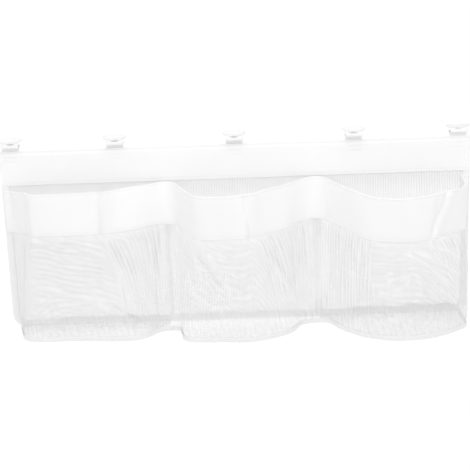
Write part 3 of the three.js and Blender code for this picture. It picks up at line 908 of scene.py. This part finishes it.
class ORGANIZER_OT_header(bpy.types.Operator):
    """Makes the header's front and back cloth and its stitching"""

    bl_idname = "organizer.header"
    bl_label = "Header"

    def execute(self, context):
        pitch = stitch_pitch(context)
        front, front_rows = header_layer("header_front_cloth", FRONT_CLOTH_Y, -1)
        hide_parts("header_band")
        back, back_rows = header_layer("header_back_cloth", BACK_CLOTH_Y, 1)
        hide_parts("header_backing")
        box_rows = []
        for place in HANGER_PLACES:
            for z in (HEADER_TOP - 9.5, HEADER_TOP - 16):
                y = HEADER_LOW.y - 0.02
                box_rows.append([
                    (Vector((place + x, y, z)), Vector((0, -1, 0))) for x in range(-11, 12, 2)
                ])
        front_thread = stitches("header_stitches_front", front_rows, FINISHES["thread"], pitch)
        back_thread = stitches("header_stitches_back", back_rows, FINISHES["thread"], pitch)
        tacks = stitches("hanger_tack_stitches", box_rows, FINISHES["thread"], pitch * 0.7, length=2.0)
        return {"FINISHED"}


class ORGANIZER_OT_back_net(bpy.types.Operator):
    """Makes the back panel's net, its folded binding and the binding's stitching"""

    bl_idname = "organizer.back_net"
    bl_label = "Back net"

    def execute(self, context):
        columns, rows = 180, 64
        top = HEADER_TOP - 6
        corner_z = PANEL_BOTTOM + PANEL_CORNER

        def half_at(z):
            below = max(corner_z - z, 0)
            return PANEL_HALF - PANEL_CORNER + math.sqrt(max(PANEL_CORNER**2 - below**2, 0))

        def height(row):
            share = row / rows
            return mix(PANEL_BOTTOM, top, share**1.25)

        def point(column, row):
            z = height(row)
            x = mix(-1, 1, column / columns) * half_at(z)
            free = step_up(HEADER_BOTTOM - z, 4, 50) * step_up(z - PANEL_BOTTOM, 8, 40)
            free *= step_up(PANEL_HALF - abs(x), 8, 40)
            for place in TAPE_PLACES:
                free *= step_up(abs(x - place), 4, 30)
            folds = ripple(x / 40, z / 110, 31) * 2.4 + ripple(x / 17, z / 60, 33) * 1.0
            drape = abs(folds) * free
            return Vector((x, PANEL_Y - drape, z))

        def flat(column, row):
            z = height(row)
            return mix(-1, 1, column / columns) * half_at(z) + PANEL_HALF, z - PANEL_BOTTOM

        # Painted shade: the net's colour is darker just under the header and a little darker towards the left
        def gather(column, row):
            z, x = height(row), mix(-1, 1, column / columns) * half_at(height(row))
            under = 1 - step_up(HEADER_BOTTOM - z, 6, 34)
            return mix(0.28, 0.86, under) - x / PANEL_HALF * 0.09 + ripple(x / 2.6, z / 40, 35) * 0.3

        net = grid("back_net", columns, rows, point, flat, FINISHES["net"], gather)
        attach(net, "bag")
        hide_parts("back_panel")
        binding, thread = self.binding(context)
        return {"FINISHED"}

    def binding(self, context):
        """Tape folded over the panel's edge, from the header round both lower corners."""
        top = HEADER_BOTTOM + 1.5
        corner_z = PANEL_BOTTOM + PANEL_CORNER
        arc = [math.pi / 2 * k / 10 for k in range(11)]
        inner = PANEL_HALF - PANEL_CORNER
        path = [Vector((-PANEL_HALF, 0, mix(top, corner_z, k / 40))) for k in range(40)]
        path += [
            Vector((-inner - PANEL_CORNER * math.cos(a), 0, corner_z - PANEL_CORNER * math.sin(a))) for a in arc
        ]
        path += [Vector((mix(-inner, inner, k / 130), 0, PANEL_BOTTOM)) for k in range(1, 130)]
        path += [
            Vector((inner + PANEL_CORNER * math.sin(a), 0, corner_z - PANEL_CORNER * math.cos(a))) for a in arc
        ]
        path += [Vector((PANEL_HALF, 0, mix(corner_z, top, k / 40))) for k in range(1, 41)]
        front = BINDING_LOW.y + BINDING_CLOTH / 2
        back = BINDING_HIGH.y - BINDING_CLOTH / 2
        middle, half = (front + back) / 2, (back - front) / 2
        out = 0.8 - BINDING_CLOTH / 2
        # Across the tape: (into the panel, towards the wall), from the front inner edge round to the back one
        section = [(BINDING_WIDTH, -half), (BINDING_WIDTH - 1, -half - 0.1), (8, -half + 0.12), (6.5, -half)]
        section += [(3.5, -half), (0.8, -half), (-out * 0.7, -half * 0.7), (-out, 0), (-out * 0.7, half * 0.7)]
        section += [(0.8, half), (3.5, half), (6.5, half), (8, half - 0.12), (BINDING_WIDTH - 1, half + 0.1)]
        section += [(BINDING_WIDTH, half)]
        columns, rows = len(section) - 1, len(path) - 1
        reach = Line(path).reach

        def inward(row):
            before, after = path[max(row - 1, 0)], path[min(row + 1, rows)]
            along = (after - before).normalized()
            return Vector((-along.z, 0, along.x))

        def point(column, row):
            depth, y = section[column]
            pucker = ripple(reach[row] / 6, column * 0.2, 41) * 0.22 * step_up(depth, 1, 8)
            place = path[row] + inward(row) * (depth + pucker)
            place.y = middle + y + (pucker * 0.5 if y < 0 else 0)
            return place

        def flat(column, row):
            return column / columns * (2 * BINDING_WIDTH + 2), reach[row]

        piece = grid("back_binding", columns, rows, point, flat, FINISHES["tape"])
        thicken(piece, BINDING_CLOTH)
        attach(piece, "bag")
        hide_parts("back_binding_left", "back_binding_right", "back_binding_bottom")
        sides = []
        for column, face in ((2, -1), (len(section) - 3, 1)):
            shift = Vector((0, face * (BINDING_CLOTH / 2 + 0.05), 0))
            sides.append([(point(column, row) + shift, Vector((0, face, 0))) for row in range(rows + 1)])
        pitch = stitch_pitch(context)
        thread = stitches("back_binding_stitches", sides, FINISHES["thread"], pitch)
        return piece, thread


class ORGANIZER_OT_divider_tapes(bpy.types.Operator):
    """Makes the mesh tapes between the pockets and the net strips from each tape to the pockets' seam"""

    bl_idname = "organizer.divider_tapes"
    bl_label = "Divider tapes"

    def execute(self, context):
        low, high = TAPE_LOW.z, TAPE_HIGH.z
        middle_y = (TAPE_LOW.y + TAPE_HIGH.y) / 2
        columns, rows = 8, 90
        for index, (node, place) in enumerate(zip(TAPE_NODES, TAPE_PLACES)):
            seed = 51 + index

            def point(column, row):
                across = mix(-TAPE_WIDTH / 2, TAPE_WIDTH / 2, column / columns)
                z = mix(low, high, row / rows)
                pucker = ripple(z / 7, across / 9, seed) * 0.2
                stitched = 0.18 * (1 - step_up(abs(across), 0.3, 1.4))
                return Vector((place + across + pucker, middle_y + pucker + stitched, z))

            def flat(column, row):
                return mix(0, TAPE_WIDTH, column / columns), mix(0, high - low, row / rows)

            # The tape's net has a low gather: thinner threads, and its colour painted lighter against the shade
            # between the pockets
            tape = grid(f"{node}_cloth", columns, rows, point, flat, FINISHES["net"], lambda *at: -0.6)
            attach(tape, "bag")
            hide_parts(node)
            wall = self.wall(node, FORMS[index], place)
            line = [(point(4, row) + Vector((0, -0.1, 0)), Vector((0, -1, 0))) for row in range(rows + 1)]
            pitch = stitch_pitch(context)
            thread = stitches(f"{node}_stitches", [line], FINISHES["thread"], pitch)
            at_floor, at_mouth = (TAPE_LOW.y - FORMS[index].flat(1, v).y for v in (0, 1))
            tall = FORMS[index].height(1)
        return {"FINISHED"}

    def wall(self, node, form, place):
        """The strip of net from the tape to the seam where the two pockets' fronts meet."""
        columns, rows = 10, 60
        back = TAPE_LOW.y - 0.2

        def point(column, row):
            v = row / rows
            front = form.flat(1, v)
            slack = math.sin(math.pi * column / columns) * ripple(v * 4, column / 6, 57) * 1.4
            return Vector((place + slack, mix(back, front.y + 0.4, column / columns), front.z))

        def flat(column, row):
            place = point(column, row)
            return -place.y, place.z - WALL_BOTTOM

        # The wall's net has a low gather: thinner threads, and its colour painted lighter against the shade
        # between the pockets
        wall = grid(f"{node}_wall", columns, rows, point, flat, FINISHES["net"], lambda *at: -0.8)
        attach(wall, "bag")
        return wall


class ORGANIZER_OT_pocket_nets(bpy.types.Operator):
    """Makes the three gathered net fronts, from the floor seam up into the band"""

    bl_idname = "organizer.pocket_nets"
    bl_label = "Pocket nets"

    def execute(self, context):
        amount = context.scene.organizer_sizes.wrinkle
        for form in FORMS:
            columns, rows = int(form.length / 1.3), 128
            overlap = 9  # the net's top edge lies inside the band
            wrinkles = {}

            def at(column, row):
                u = column / columns
                share = row / rows
                top = form.height(u) - BAND_HEIGHT + overlap
                return u, mix(0, top, share) / form.height(u)

            def wrinkle(column, row):
                if (column, row) not in wrinkles:
                    wrinkles[column, row] = net_wrinkle(form, *at(column, row), amount)
                return wrinkles[column, row]

            def point(column, row):
                u, v = at(column, row)
                tall = form.height(u)
                in_band = step_up(v * tall, tall - BAND_HEIGHT - 9, tall - BAND_HEIGHT + 1)
                out = mix(wrinkle(column, row)[0], band_fold(form, u, v) - 0.15, in_band)
                return form.point(u, v, out)

            def flat(column, row):
                u, v = at(column, row)
                up, pulled = v * form.height(u), wrinkle(column, row)[0] * WRINKLE_PULL
                return u * form.length * GATHERED + up * SKEW[form.index] + pulled, up + pulled

            name = form.pocket["name"]
            net = grid(
                f"pocket_net_{name}", columns, rows, point, flat, FINISHES["net"], lambda *at: wrinkle(*at)[1]
            )
            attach(net, "bag")
            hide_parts(f"pocket_front_{name}")
            tall = form.height(0.5) - BAND_HEIGHT + overlap
        return {"FINISHED"}


class ORGANIZER_OT_pocket_floors(bpy.types.Operator):
    """Makes the three net floors and the binding that joins each to its front"""

    bl_idname = "organizer.pocket_floors"
    bl_label = "Pocket floors"

    def execute(self, context):
        pitch = stitch_pitch(context)
        for form in FORMS:
            name = form.pocket["name"]
            columns, rows = int(form.floor_line.length / 2.4), 26
            back = PANEL_SIDE_Y + 0.2

            def point(column, row):
                u, share = column / columns, row / rows
                front = form.flat(u, 0)
                rear = Vector((mix(form.left, form.right, u), back, 0))
                place = rear.lerp(front, share)
                free = math.sin(math.pi * share) * step_up(u, 0, 0.1) * (1 - step_up(u, 0.9, 1))
                depth = (rear - front).length
                sag = -depth * 0.035 + ripple(place.x / 24, place.y / 17, form.index + 61) * 1.7
                place.z = FLOOR_Z + sag * free - 0.5 * share
                return place

            def flat(column, row):
                place = point(column, row)
                return place.x + 400, place.y * 1.03 + 200

            def gather(column, row):
                place = point(column, row)
                # Painted shade: towards the rear seam the floor's net takes the seam's density and colour
                rear = 1 - step_up(-place.y, 8, 42)
                ruffle = ripple(place.x / 2.4, place.y / 14, form.index + 64) * 0.5
                dense = mix(DENSE_FLOOR[form.index], SEAM_GATHER_AND_SHADE[form.index], rear)
                return dense + ripple(place.x / 9, place.y / 9, 63) * 0.4 + ruffle

            net = grid(f"pocket_floor_net_{name}", columns, rows, point, flat, FINISHES["net"], gather)
            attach(net, "bag")
            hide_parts(f"pocket_floor_{name}")
            seam, overlock = self.rear_seam(form, pitch)
            binding, thread = self.binding(form, pitch)
        return {"FINISHED"}

    def rear_seam(self, form, pitch):
        """The floor's rear edge, gathered, turned up and folded over in front of the panel's binding."""
        columns, rows = int((form.right - form.left - 12) / 1.5), 9
        # (in front of the floor's rear edge, above the floor)
        section = [(1.4, 9.4), (1.9, 11.2), (2.8, 11.2), (3.4, 9.4), (3.7, 7), (4.0, 4.6), (4.6, 2.4)]
        section += [(6, 1), (9, 0.5), (14, 0.3)]
        start, end = SEAM_SPANS[form.index]

        def there(x):
            return step_up(x, start - 12, start + 12) * (1 - step_up(x, end - 22, end + 22))

        def fold(x, row):
            phase = ripple(x / 19, 0.4, form.index + 65) * 7
            return pleat(x + phase + row * 0.2, 5.2)

        def point(column, row):
            x = mix(form.left + 6, form.right - 6, column / columns)
            out, up = section[row]
            pleated = fold(x, row) * 0.8 * step_up(up, 0, 5)
            tall = (1 + ripple(x / 24, 1.1, form.index + 67) * 0.35) * mix(0.3, 1, there(x))
            return Vector((x, PANEL_SIDE_Y - out - pleated - 0.9 * step_up(up, 0, 5), FLOOR_Z + up * tall))

        def flat(column, row):
            return mix(0, (form.right - form.left) * 1.2, column / columns), row / rows * 20

        # Painted shade: the seam's net is darker in its pleats' hollows and, where the seam table makes it dense,
        # towards its top edge
        def gather(column, row):
            x = mix(form.left + 6, form.right - 6, column / columns)
            edge = mix(0.15, 1, step_up(section[row][1], 4, 11))
            patchy = ripple(x / 33, row / 7, form.index + 69) * 0.8 + ripple(x / 5, row / 4, form.index + 72) * 0.5
            return (SEAM_GATHER_AND_SHADE[form.index] + patchy + 0.3) * edge * there(x) - fold(x, row) * 0.6 - 0.55

        seam = grid(
            f"pocket_floor_seam_{form.pocket['name']}", columns, rows, point, flat, FINISHES["net"], gather
        )
        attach(seam, "bag")
        lines = []
        for row in (1, 3):
            lines.append([
                (point(column, row) + Vector((0, -0.25, 0)), Vector((0, -1, 0))) for column in range(columns + 1)
            ])
        overlock = stitches(f"{seam.name}_stitches", lines, FINISHES["thread"], pitch * 0.8, length=2.0)
        return seam, overlock

    def binding(self, form, pitch):
        """Tape folded down over the raw edges of the front and the floor, puckered by its stitching."""
        name = form.pocket["name"]
        low, high = FLOOR_BINDING_LOW.z + 0.3, FLOOR_BINDING_HIGH.z + 0.6
        columns = int(form.floor_line.length / 2.2)
        # Down the front, round the lower edge and up the back: (out, height share)
        section = [(0.55, 1), (0.75, 0.8), (0.55, 0.62), (0.8, 0.35), (0.6, 0.08), (0, 0), (-0.6, 0.08)]
        section += [(-0.8, 0.35), (-0.55, 0.62), (-0.75, 0.8), (-0.55, 1)]
        rows = len(section) - 1

        def point(column, row):
            u = column / columns
            out, share = section[row]
            along = u * form.floor_line.length
            pucker = math.sin(2 * math.pi * along / 9 + ripple(along / 25, 0, 71) * 5)
            pucker = pucker * 0.45 + ripple(along / 16, share, 73) * 0.6
            drop = ripple(along / 22, 2, 75) * 0.5 * (1 - share)
            loose = 1 - share * 0.6
            place = form.flat(u, 0) + form.normal(u, 0) * (out + pucker * loose)
            place.z = mix(low, high, share) + drop
            return place

        def flat(column, row):
            return row / rows * 16, column / columns * form.floor_line.length

        piece = grid(f"floor_binding_{name}_cloth", columns, rows, point, flat, FINISHES["tape"])
        thicken(piece, 0.5)
        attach(piece, "bag")
        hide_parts(f"floor_binding_{name}")
        line = []
        for column in range(columns + 1):
            out = form.normal(column / columns, 0)
            line.append((point(column, 2) + out * 0.28, out))
        thread = stitches(f"floor_binding_{name}_stitches", [line], FINISHES["thread"], pitch)
        return piece, thread


def band_columns():
    """The band's columns from end to end, each a function of the height share."""
    made = []
    fold = 0.9  # the band's end lies flat on the panel's binding

    def strip(x, top, y):
        return lambda share: Vector((x, y, top - BAND_HEIGHT * (1 - share)))

    for form in FORMS:
        count = int(form.length / 2.2)
        if form.index == 0:
            end_top = form.flat(0, 1).z
            for x in (-PANEL_HALF + 1, -PANEL_HALF + 4, -PANEL_HALF + 7.5):
                made.append(strip(x, end_top, PANEL_SIDE_Y - fold))
        for column in range(count + 1):
            u = column / count
            tall = form.height(u)

            def place(share, form=form, u=u, tall=tall):
                v = (tall - BAND_HEIGHT * (1 - share)) / tall
                return form.point(u, v, band_fold(form, u, v))

            made.append(place)
        if form.index == len(FORMS) - 1:
            for x in (PANEL_HALF - 7.5, PANEL_HALF - 4, PANEL_HALF - 1):
                made.append(strip(x, form.flat(1, 1).z, PANEL_SIDE_Y - fold))
    return made


def smooth_over_dividers(line, rounds=5, reach=16):
    """Rounds the row of points where the band turns at a divider. Points stay in front of the tape."""
    for _ in range(rounds):
        before = [point.copy() for point in line]
        for k in range(1, len(line) - 1):
            near = min(abs(before[k].x - place) for place in TAPE_PLACES)
            share = 1 - step_up(near, reach * 0.4, reach)
            if share > 0 and before[k].y > -45:
                line[k] = before[k].lerp((before[k - 1] + before[k] * 2 + before[k + 1]) / 4, share)


class ORGANIZER_OT_pocket_band(bpy.types.Operator):
    """Makes the cloth band along the three mouths, in one length, with its hems and stitching"""

    bl_idname = "organizer.pocket_band"
    bl_label = "Pocket band"

    def execute(self, context):
        places = band_columns()
        columns = len(places) - 1
        hem = [0, 1.0, 2.4, STITCH_ROW, 4.0, 5.6, 8.5]
        heights = list(hem) + [8.5 + (BAND_HEIGHT - 17) * k / 9 for k in range(1, 9)]
        heights += [BAND_HEIGHT - h for h in reversed(hem)]
        rows = len(heights) - 1
        levels = []
        for h in heights:
            level = [place(h / BAND_HEIGHT) for place in places]
            smooth_over_dividers(level)
            levels.append(level)
        reach = Line(levels[rows // 2]).reach

        def outward(column, row):
            level = levels[row]
            along = level[min(column + 1, columns)] - level[max(column - 1, 0)]
            return Vector((along.y, -along.x, 0)).normalized()

        def point(column, row):
            h = heights[row]
            from_edge = min(h, BAND_HEIGHT - h)
            pucker = ripple(reach[column] / 8, h / 20, 81) * 0.25 * (1 - step_up(from_edge, 2, 10))
            return levels[row][column] + outward(column, row) * (pucker - groove(from_edge))

        def flat(column, row):
            return reach[column], heights[row]

        band = grid("pocket_band_cloth", columns, rows, point, flat, FINISHES["cloth"])
        thicken(band, BAND_CLOTH)
        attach(band, "bag")
        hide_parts(*(f"pocket_band_{pocket['name']}" for pocket in POCKETS))
        lines = []
        for row in (hem.index(STITCH_ROW), rows - hem.index(STITCH_ROW)):
            lines.append([
                (point(column, row) + outward(column, row) * (BAND_CLOTH / 2 + 0.02), outward(column, row))
                for column in range(columns + 1)
            ])
        pitch = stitch_pitch(context)
        thread = stitches("pocket_band_stitches", lines, FINISHES["thread"], pitch)
        return {"FINISHED"}


def hanger_matrix(name, place):
    """From a hanger's own axes to the row frame: its bend is at the origin."""
    move = Matrix.Translation(Vector((place, SEAM_Y, BEND_Z)) * MM)
    return move @ Matrix.Rotation(-LEAN.get(name, 0), 4, "X")


def rounded_path(corners, radius, steps=5):
    """A path in Y and Z with its inner corners rounded."""
    made = [Vector(corners[0])]
    for before, corner, after in zip(corners, corners[1:], corners[2:]):
        corner = Vector(corner)
        to_before, to_after = Vector(before) - corner, Vector(after) - corner
        cut = min(radius, to_before.length / 2, to_after.length / 2)
        start, end = corner + to_before.normalized() * cut, corner + to_after.normalized() * cut
        for k in range(steps + 1):
            t = k / steps
            made.append(start.lerp(corner, t).lerp(corner.lerp(end, t), t))
    made.append(Vector(corners[-1]))
    return made


class ORGANIZER_OT_webbing_loops(bpy.types.Operator):
    """Makes the five webbing loops, their tails sewn into the header's top seam"""

    bl_idname = "organizer.webbing_loops"
    bl_label = "Webbing loops"

    def execute(self, context):
        ply = WEBBING / 2
        low, high = LOOP_STEM + ply, LOOP_TOP - ply
        half = LOOP_DEPTH / 2 - ply
        tail = -11
        corners = [(-0.3, tail), (-0.3, -1.5), (-ply, 0), (-ply, low), (-half, low), (-half, high)]
        corners += [(half, high), (half, low), (ply, low), (ply, 0), (0.3, -1.5), (0.3, tail)]
        path = Line(rounded_path([Vector((y, z)) for y, z in corners], 1.4))
        rows, columns = 110, 18
        for name, place in zip(HANGERS, HANGER_PLACES):
            seed = 91 + HANGERS.index(name)

            def point(column, row):
                share = row / rows
                x = mix(-WEBBING_WIDTH / 2, WEBBING_WIDTH / 2, column / columns)
                spot = path.at(share)
                inside = step_up(spot.y, -3, 0)
                curl = ripple(x / 11, share * 9, seed) * 0.22 * inside
                return Vector((x * (1 - 0.03 * (1 - inside)), spot.x + curl * 0.4, spot.y + curl))

            def flat(column, row):
                return column / columns * WEBBING_WIDTH, row / rows * path.length

            loop = grid(f"webbing_{name}", columns, rows, point, flat, FINISHES["webbing"])
            thicken(loop, WEBBING * 0.92, smoothing=0)
            self.punch(loop)
            for vertex in loop.data.vertices:
                # The webbing leans from the bend up, and its tail stays in the seam
                upright = 1 - step_up(vertex.co.z / MM, -1.2, 1.0)
                vertex.co.rotate(Matrix.Rotation(LEAN.get(name, 0) * upright, 3, "X"))
            loop.data.transform(hanger_matrix(name, place))
            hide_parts(f"webbing_loop_{name}")
            axes = hanger_matrix(name, place)
            start, end = axes @ Vector((0, 0, -1.2 * MM)), axes @ Vector((0, 0, 2.2 * MM))
            tuple(start)
            tuple(end)
            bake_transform(loop)
        return {"FINISHED"}

    def punch(self, loop):
        """Cuts the eyelet's hole through the loop's top."""
        cutter_mesh = bpy.data.meshes.new("punch")
        shape = bmesh.new()
        place = Matrix.Translation((0, 0, (LOOP_TOP - WEBBING / 2) * MM))
        bmesh.ops.create_cone(
            shape, cap_ends=True, segments=40, radius1=3.9 * MM, radius2=3.9 * MM, depth=3 * MM, matrix=place
        )
        shape.to_mesh(cutter_mesh)
        shape.free()
        cutter = bpy.data.objects.new("punch", cutter_mesh)
        bpy.context.scene.collection.objects.link(cutter)
        cut = loop.modifiers.new("punch", "BOOLEAN")
        cut.object, cut.operation, cut.solver = cutter, "DIFFERENCE", "EXACT"
        settle(loop)
        bpy.data.objects.remove(cutter)
        bpy.data.meshes.remove(cutter_mesh)


class ORGANIZER_OT_eyelets(bpy.types.Operator):
    """Makes the pressed eyelets in the tops of the loops"""

    bl_idname = "organizer.eyelets"
    bl_label = "Eyelets"

    def execute(self, context):
        low, high = LOOP_TOP - WEBBING, LOOP_TOP
        profile = [(3.0, low - 0.05), (3.05, low - 0.25), (3.25, low - 0.4), (5.2, low - 0.4), (5.55, low - 0.25)]
        profile += [(5.6, low - 0.05), (5.3, low), (3.75, low), (3.6, low + 0.15), (3.6, high - 0.15)]
        profile += [(3.75, high), (5.3, high), (5.6, high + 0.05), (5.55, high + 0.25), (5.2, high + 0.4)]
        profile += [(4.2, high + 0.42), (3.25, high + 0.36), (3.05, high + 0.22), (3.0, high + 0.05)]
        profile += [(3.0, low - 0.05)]
        for name, place in zip(HANGERS, HANGER_PLACES):
            piece = turned(f"eyelet_ring_{name}", profile, 48, FINISHES["nickel"], hanger_matrix(name, place))
            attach(piece, f"loop_{name}")
            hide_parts(f"eyelet_{name}")
        return {"FINISHED"}


class ORGANIZER_OT_suction_cups(bpy.types.Operator):
    """Makes the five clear suction cups, rim up, each with its neck through an eyelet"""

    bl_idname = "organizer.suction_cups"
    bl_label = "Suction cups"

    def execute(self, context):
        head_top = LOOP_TOP - WEBBING - 0.9
        head = head_top - 2
        boss = LOOP_TOP + 0.9
        rim = boss + 6.2
        profile = [(0, head), (3.6, head), (4.55, head + 0.25), (5.0, head + 0.8), (4.95, head + 1.6)]
        profile += [(4.6, head_top), (3.0, head_top), (2.6, head_top + 0.3), (2.6, boss - 0.25), (2.9, boss)]
        profile += [(3.6, boss + 0.05), (3.5, boss + 0.9), (2.2, boss + 1.2), (0, boss + 1.25)]
        # The bowl's wall is a single surface with a rolled rim, because light passes it many times
        bowl = [(3.55, boss + 0.3)]
        for k in range(1, 19):
            turn = math.pi / 2 * k / 18
            bowl.append((mix(3.6, 17.3, math.sin(turn)), mix(boss + 0.3, rim - 0.9, 1 - math.cos(turn))))
        bowl += [(17.5, rim - 0.55), (17.47, rim - 0.15), (17.2, rim), (16.9, rim - 0.1), (16.7, rim - 0.5)]
        for name, place in zip(HANGERS, HANGER_PLACES):
            stem = turned(f"cup_{name}_stem", profile, 48, FINISHES["vinyl"], hanger_matrix(name, place))
            wall = turned(f"cup_{name}_bowl", bowl, 72, FINISHES["vinyl"], hanger_matrix(name, place))
            for piece in (stem, wall):
                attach(piece, f"cup_{name}")
                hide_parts(f"suction_cup_{name}")
        return {"FINISHED"}


class ORGANIZER_OT_stage(bpy.types.Operator):
    """Makes the pale floor, the studio light and the camera of the photograph"""

    bl_idname = "organizer.stage"
    bl_label = "Stage"

    def execute(self, context):
        self.floor()
        self.lights(context)
        self.camera(context)
        context.scene.view_settings.view_transform = "Standard"
        return {"FINISHED"}

    def floor(self):
        """A matt white floor that keeps the object's shadow and reads as the white background."""
        bpy.ops.mesh.primitive_plane_add(size=90, location=(0, 0, -0.75))
        floor = bpy.context.object
        floor.name = "studio_floor"
        material, tree, shader = new_material("matt_white_paint", Roughness=0.9)
        place = add_node(tree, "ShaderNodeTexCoord").outputs["Object"]
        uneven = add_node(tree, "ShaderNodeTexNoise", None, {"Vector": place, "Scale": 2.0}).outputs[0]
        tree.links.new(shade_range(tree, uneven, linear("#F6F6F6"), 0.99), shader.inputs["Base Color"])
        ray = add_node(tree, "ShaderNodeLightPath")
        seen = math_node(tree, "MAXIMUM", ray.outputs["Is Camera Ray"], ray.outputs["Is Glossy Ray"])
        seen = math_node(tree, "MAXIMUM", seen, ray.outputs["Is Transmission Ray"])
        glow = add_node(tree, "ShaderNodeEmission", None, {"Color": (1, 1, 1, 1), "Strength": 1.03})
        share = math_node(tree, "MULTIPLY", seen, 0.95)
        blend = add_node(
            tree, "ShaderNodeMixShader", None, {0: share, 1: shader.outputs[0], 2: glow.outputs[0]}
        )
        tree.links.new(blend.outputs[0], tree.nodes["Material Output"].inputs[0])
        floor.data.materials.append(material)

    def lights(self, context):
        world = bpy.data.worlds.new("studio_white")
        world.use_nodes = True
        tree = world.node_tree
        tree.nodes.clear()
        ray = add_node(tree, "ShaderNodeLightPath")
        seen = math_node(tree, "MAXIMUM", ray.outputs["Is Camera Ray"], ray.outputs["Is Glossy Ray"])
        seen = math_node(tree, "MAXIMUM", seen, ray.outputs["Is Transmission Ray"])
        fill = add_node(tree, "ShaderNodeBackground", None, {"Color": (1, 1, 1, 1), "Strength": 0.905})
        white = add_node(tree, "ShaderNodeBackground", None, {"Color": (1, 1, 1, 1), "Strength": 1.0})
        both = add_node(tree, "ShaderNodeMixShader", None, {0: seen, 1: fill.outputs[0], 2: white.outputs[0]})
        out = add_node(tree, "ShaderNodeOutputWorld")
        tree.links.new(both.outputs[0], out.inputs[0])
        context.scene.world = world
        for name, place, size, power in (
            ("front_strip_softbox", (0.06, -0.6, 0.85), (1.5, 0.45), 4.3),
            ("rear_softbox", (0.6, 2.4, 1.5), (1.6, 1.6), 3),
        ):
            light = bpy.data.lights.new(name, "AREA")
            light.shape = "RECTANGLE"
            light.size, light.size_y = size
            light.energy = power
            lamp = bpy.data.objects.new(name, light)
            lamp.location = place
            lamp.visible_camera = False
            aim = Vector((0, 0, -0.05)) - Vector(place)
            lamp.rotation_mode = "QUATERNION"
            lamp.rotation_quaternion = aim.to_track_quat("-Z", "Y")
            context.scene.collection.objects.link(lamp)

    def camera(self, context):
        """Fifteen degrees above the header, with the small roll that the photograph has."""
        raised, roll = math.radians(15), math.radians(2.02)
        target, distance = Vector((-0.0039, 0, -0.1169)), 1.738
        back = Vector((0, -math.cos(raised), math.sin(raised)))
        across = Vector((1, 0, 0))
        upward = back.cross(across)
        right = across * math.cos(roll) - upward * math.sin(roll)
        up = across * math.sin(roll) + upward * math.cos(roll)
        lens = bpy.data.cameras.new("photo_camera")
        lens.lens, lens.sensor_width = 86.3, 36
        lens.clip_start, lens.clip_end = 0.05, 60
        camera = bpy.data.objects.new("photo_camera", lens)
        place = Matrix((right, up, back)).transposed().to_4x4()
        place.translation = target + back * distance
        camera.matrix_world = place
        context.scene.collection.objects.link(camera)
        context.scene.camera = camera


PIECE_OPERATORS = (
    ORGANIZER_OT_materials,
    ORGANIZER_OT_back_net,
    ORGANIZER_OT_header,
    ORGANIZER_OT_divider_tapes,
    ORGANIZER_OT_pocket_nets,
    ORGANIZER_OT_pocket_floors,
    ORGANIZER_OT_pocket_band,
    ORGANIZER_OT_webbing_loops,
    ORGANIZER_OT_eyelets,
    ORGANIZER_OT_suction_cups,
    ORGANIZER_OT_stage,
)


class ORGANIZER_PT_panel(bpy.types.Panel):
    """Lists the organizer's sizes, colours and pieces"""

    bl_idname = "ORGANIZER_PT_panel"
    bl_label = "Bath toy organizer"
    bl_space_type = "VIEW_3D"
    bl_region_type = "UI"
    bl_category = "Organizer"

    def draw(self, context):
        layout = self.layout
        for group in (context.scene.organizer_sizes, context.scene.organizer_colours):
            for name in group.__annotations__:
                layout.prop(group, name)
        for operator in PIECE_OPERATORS:
            layout.operator(operator.bl_idname)


CLASSES = (OrganizerSizes, OrganizerColours, *PIECE_OPERATORS, ORGANIZER_PT_panel)


def register():
    for made in CLASSES:
        bpy.utils.register_class(made)
    bpy.types.Scene.organizer_sizes = bpy.props.PointerProperty(type=OrganizerSizes)
    bpy.types.Scene.organizer_colours = bpy.props.PointerProperty(type=OrganizerColours)


def unregister():
    del bpy.types.Scene.organizer_colours
    del bpy.types.Scene.organizer_sizes
    for made in reversed(CLASSES):
        bpy.utils.unregister_class(made)


def main():
    register()
    for operator in PIECE_OPERATORS:
        group, name = operator.bl_idname.split(".")
        getattr(getattr(bpy.ops, group), name)()


if __name__ == "__main__":
    main()
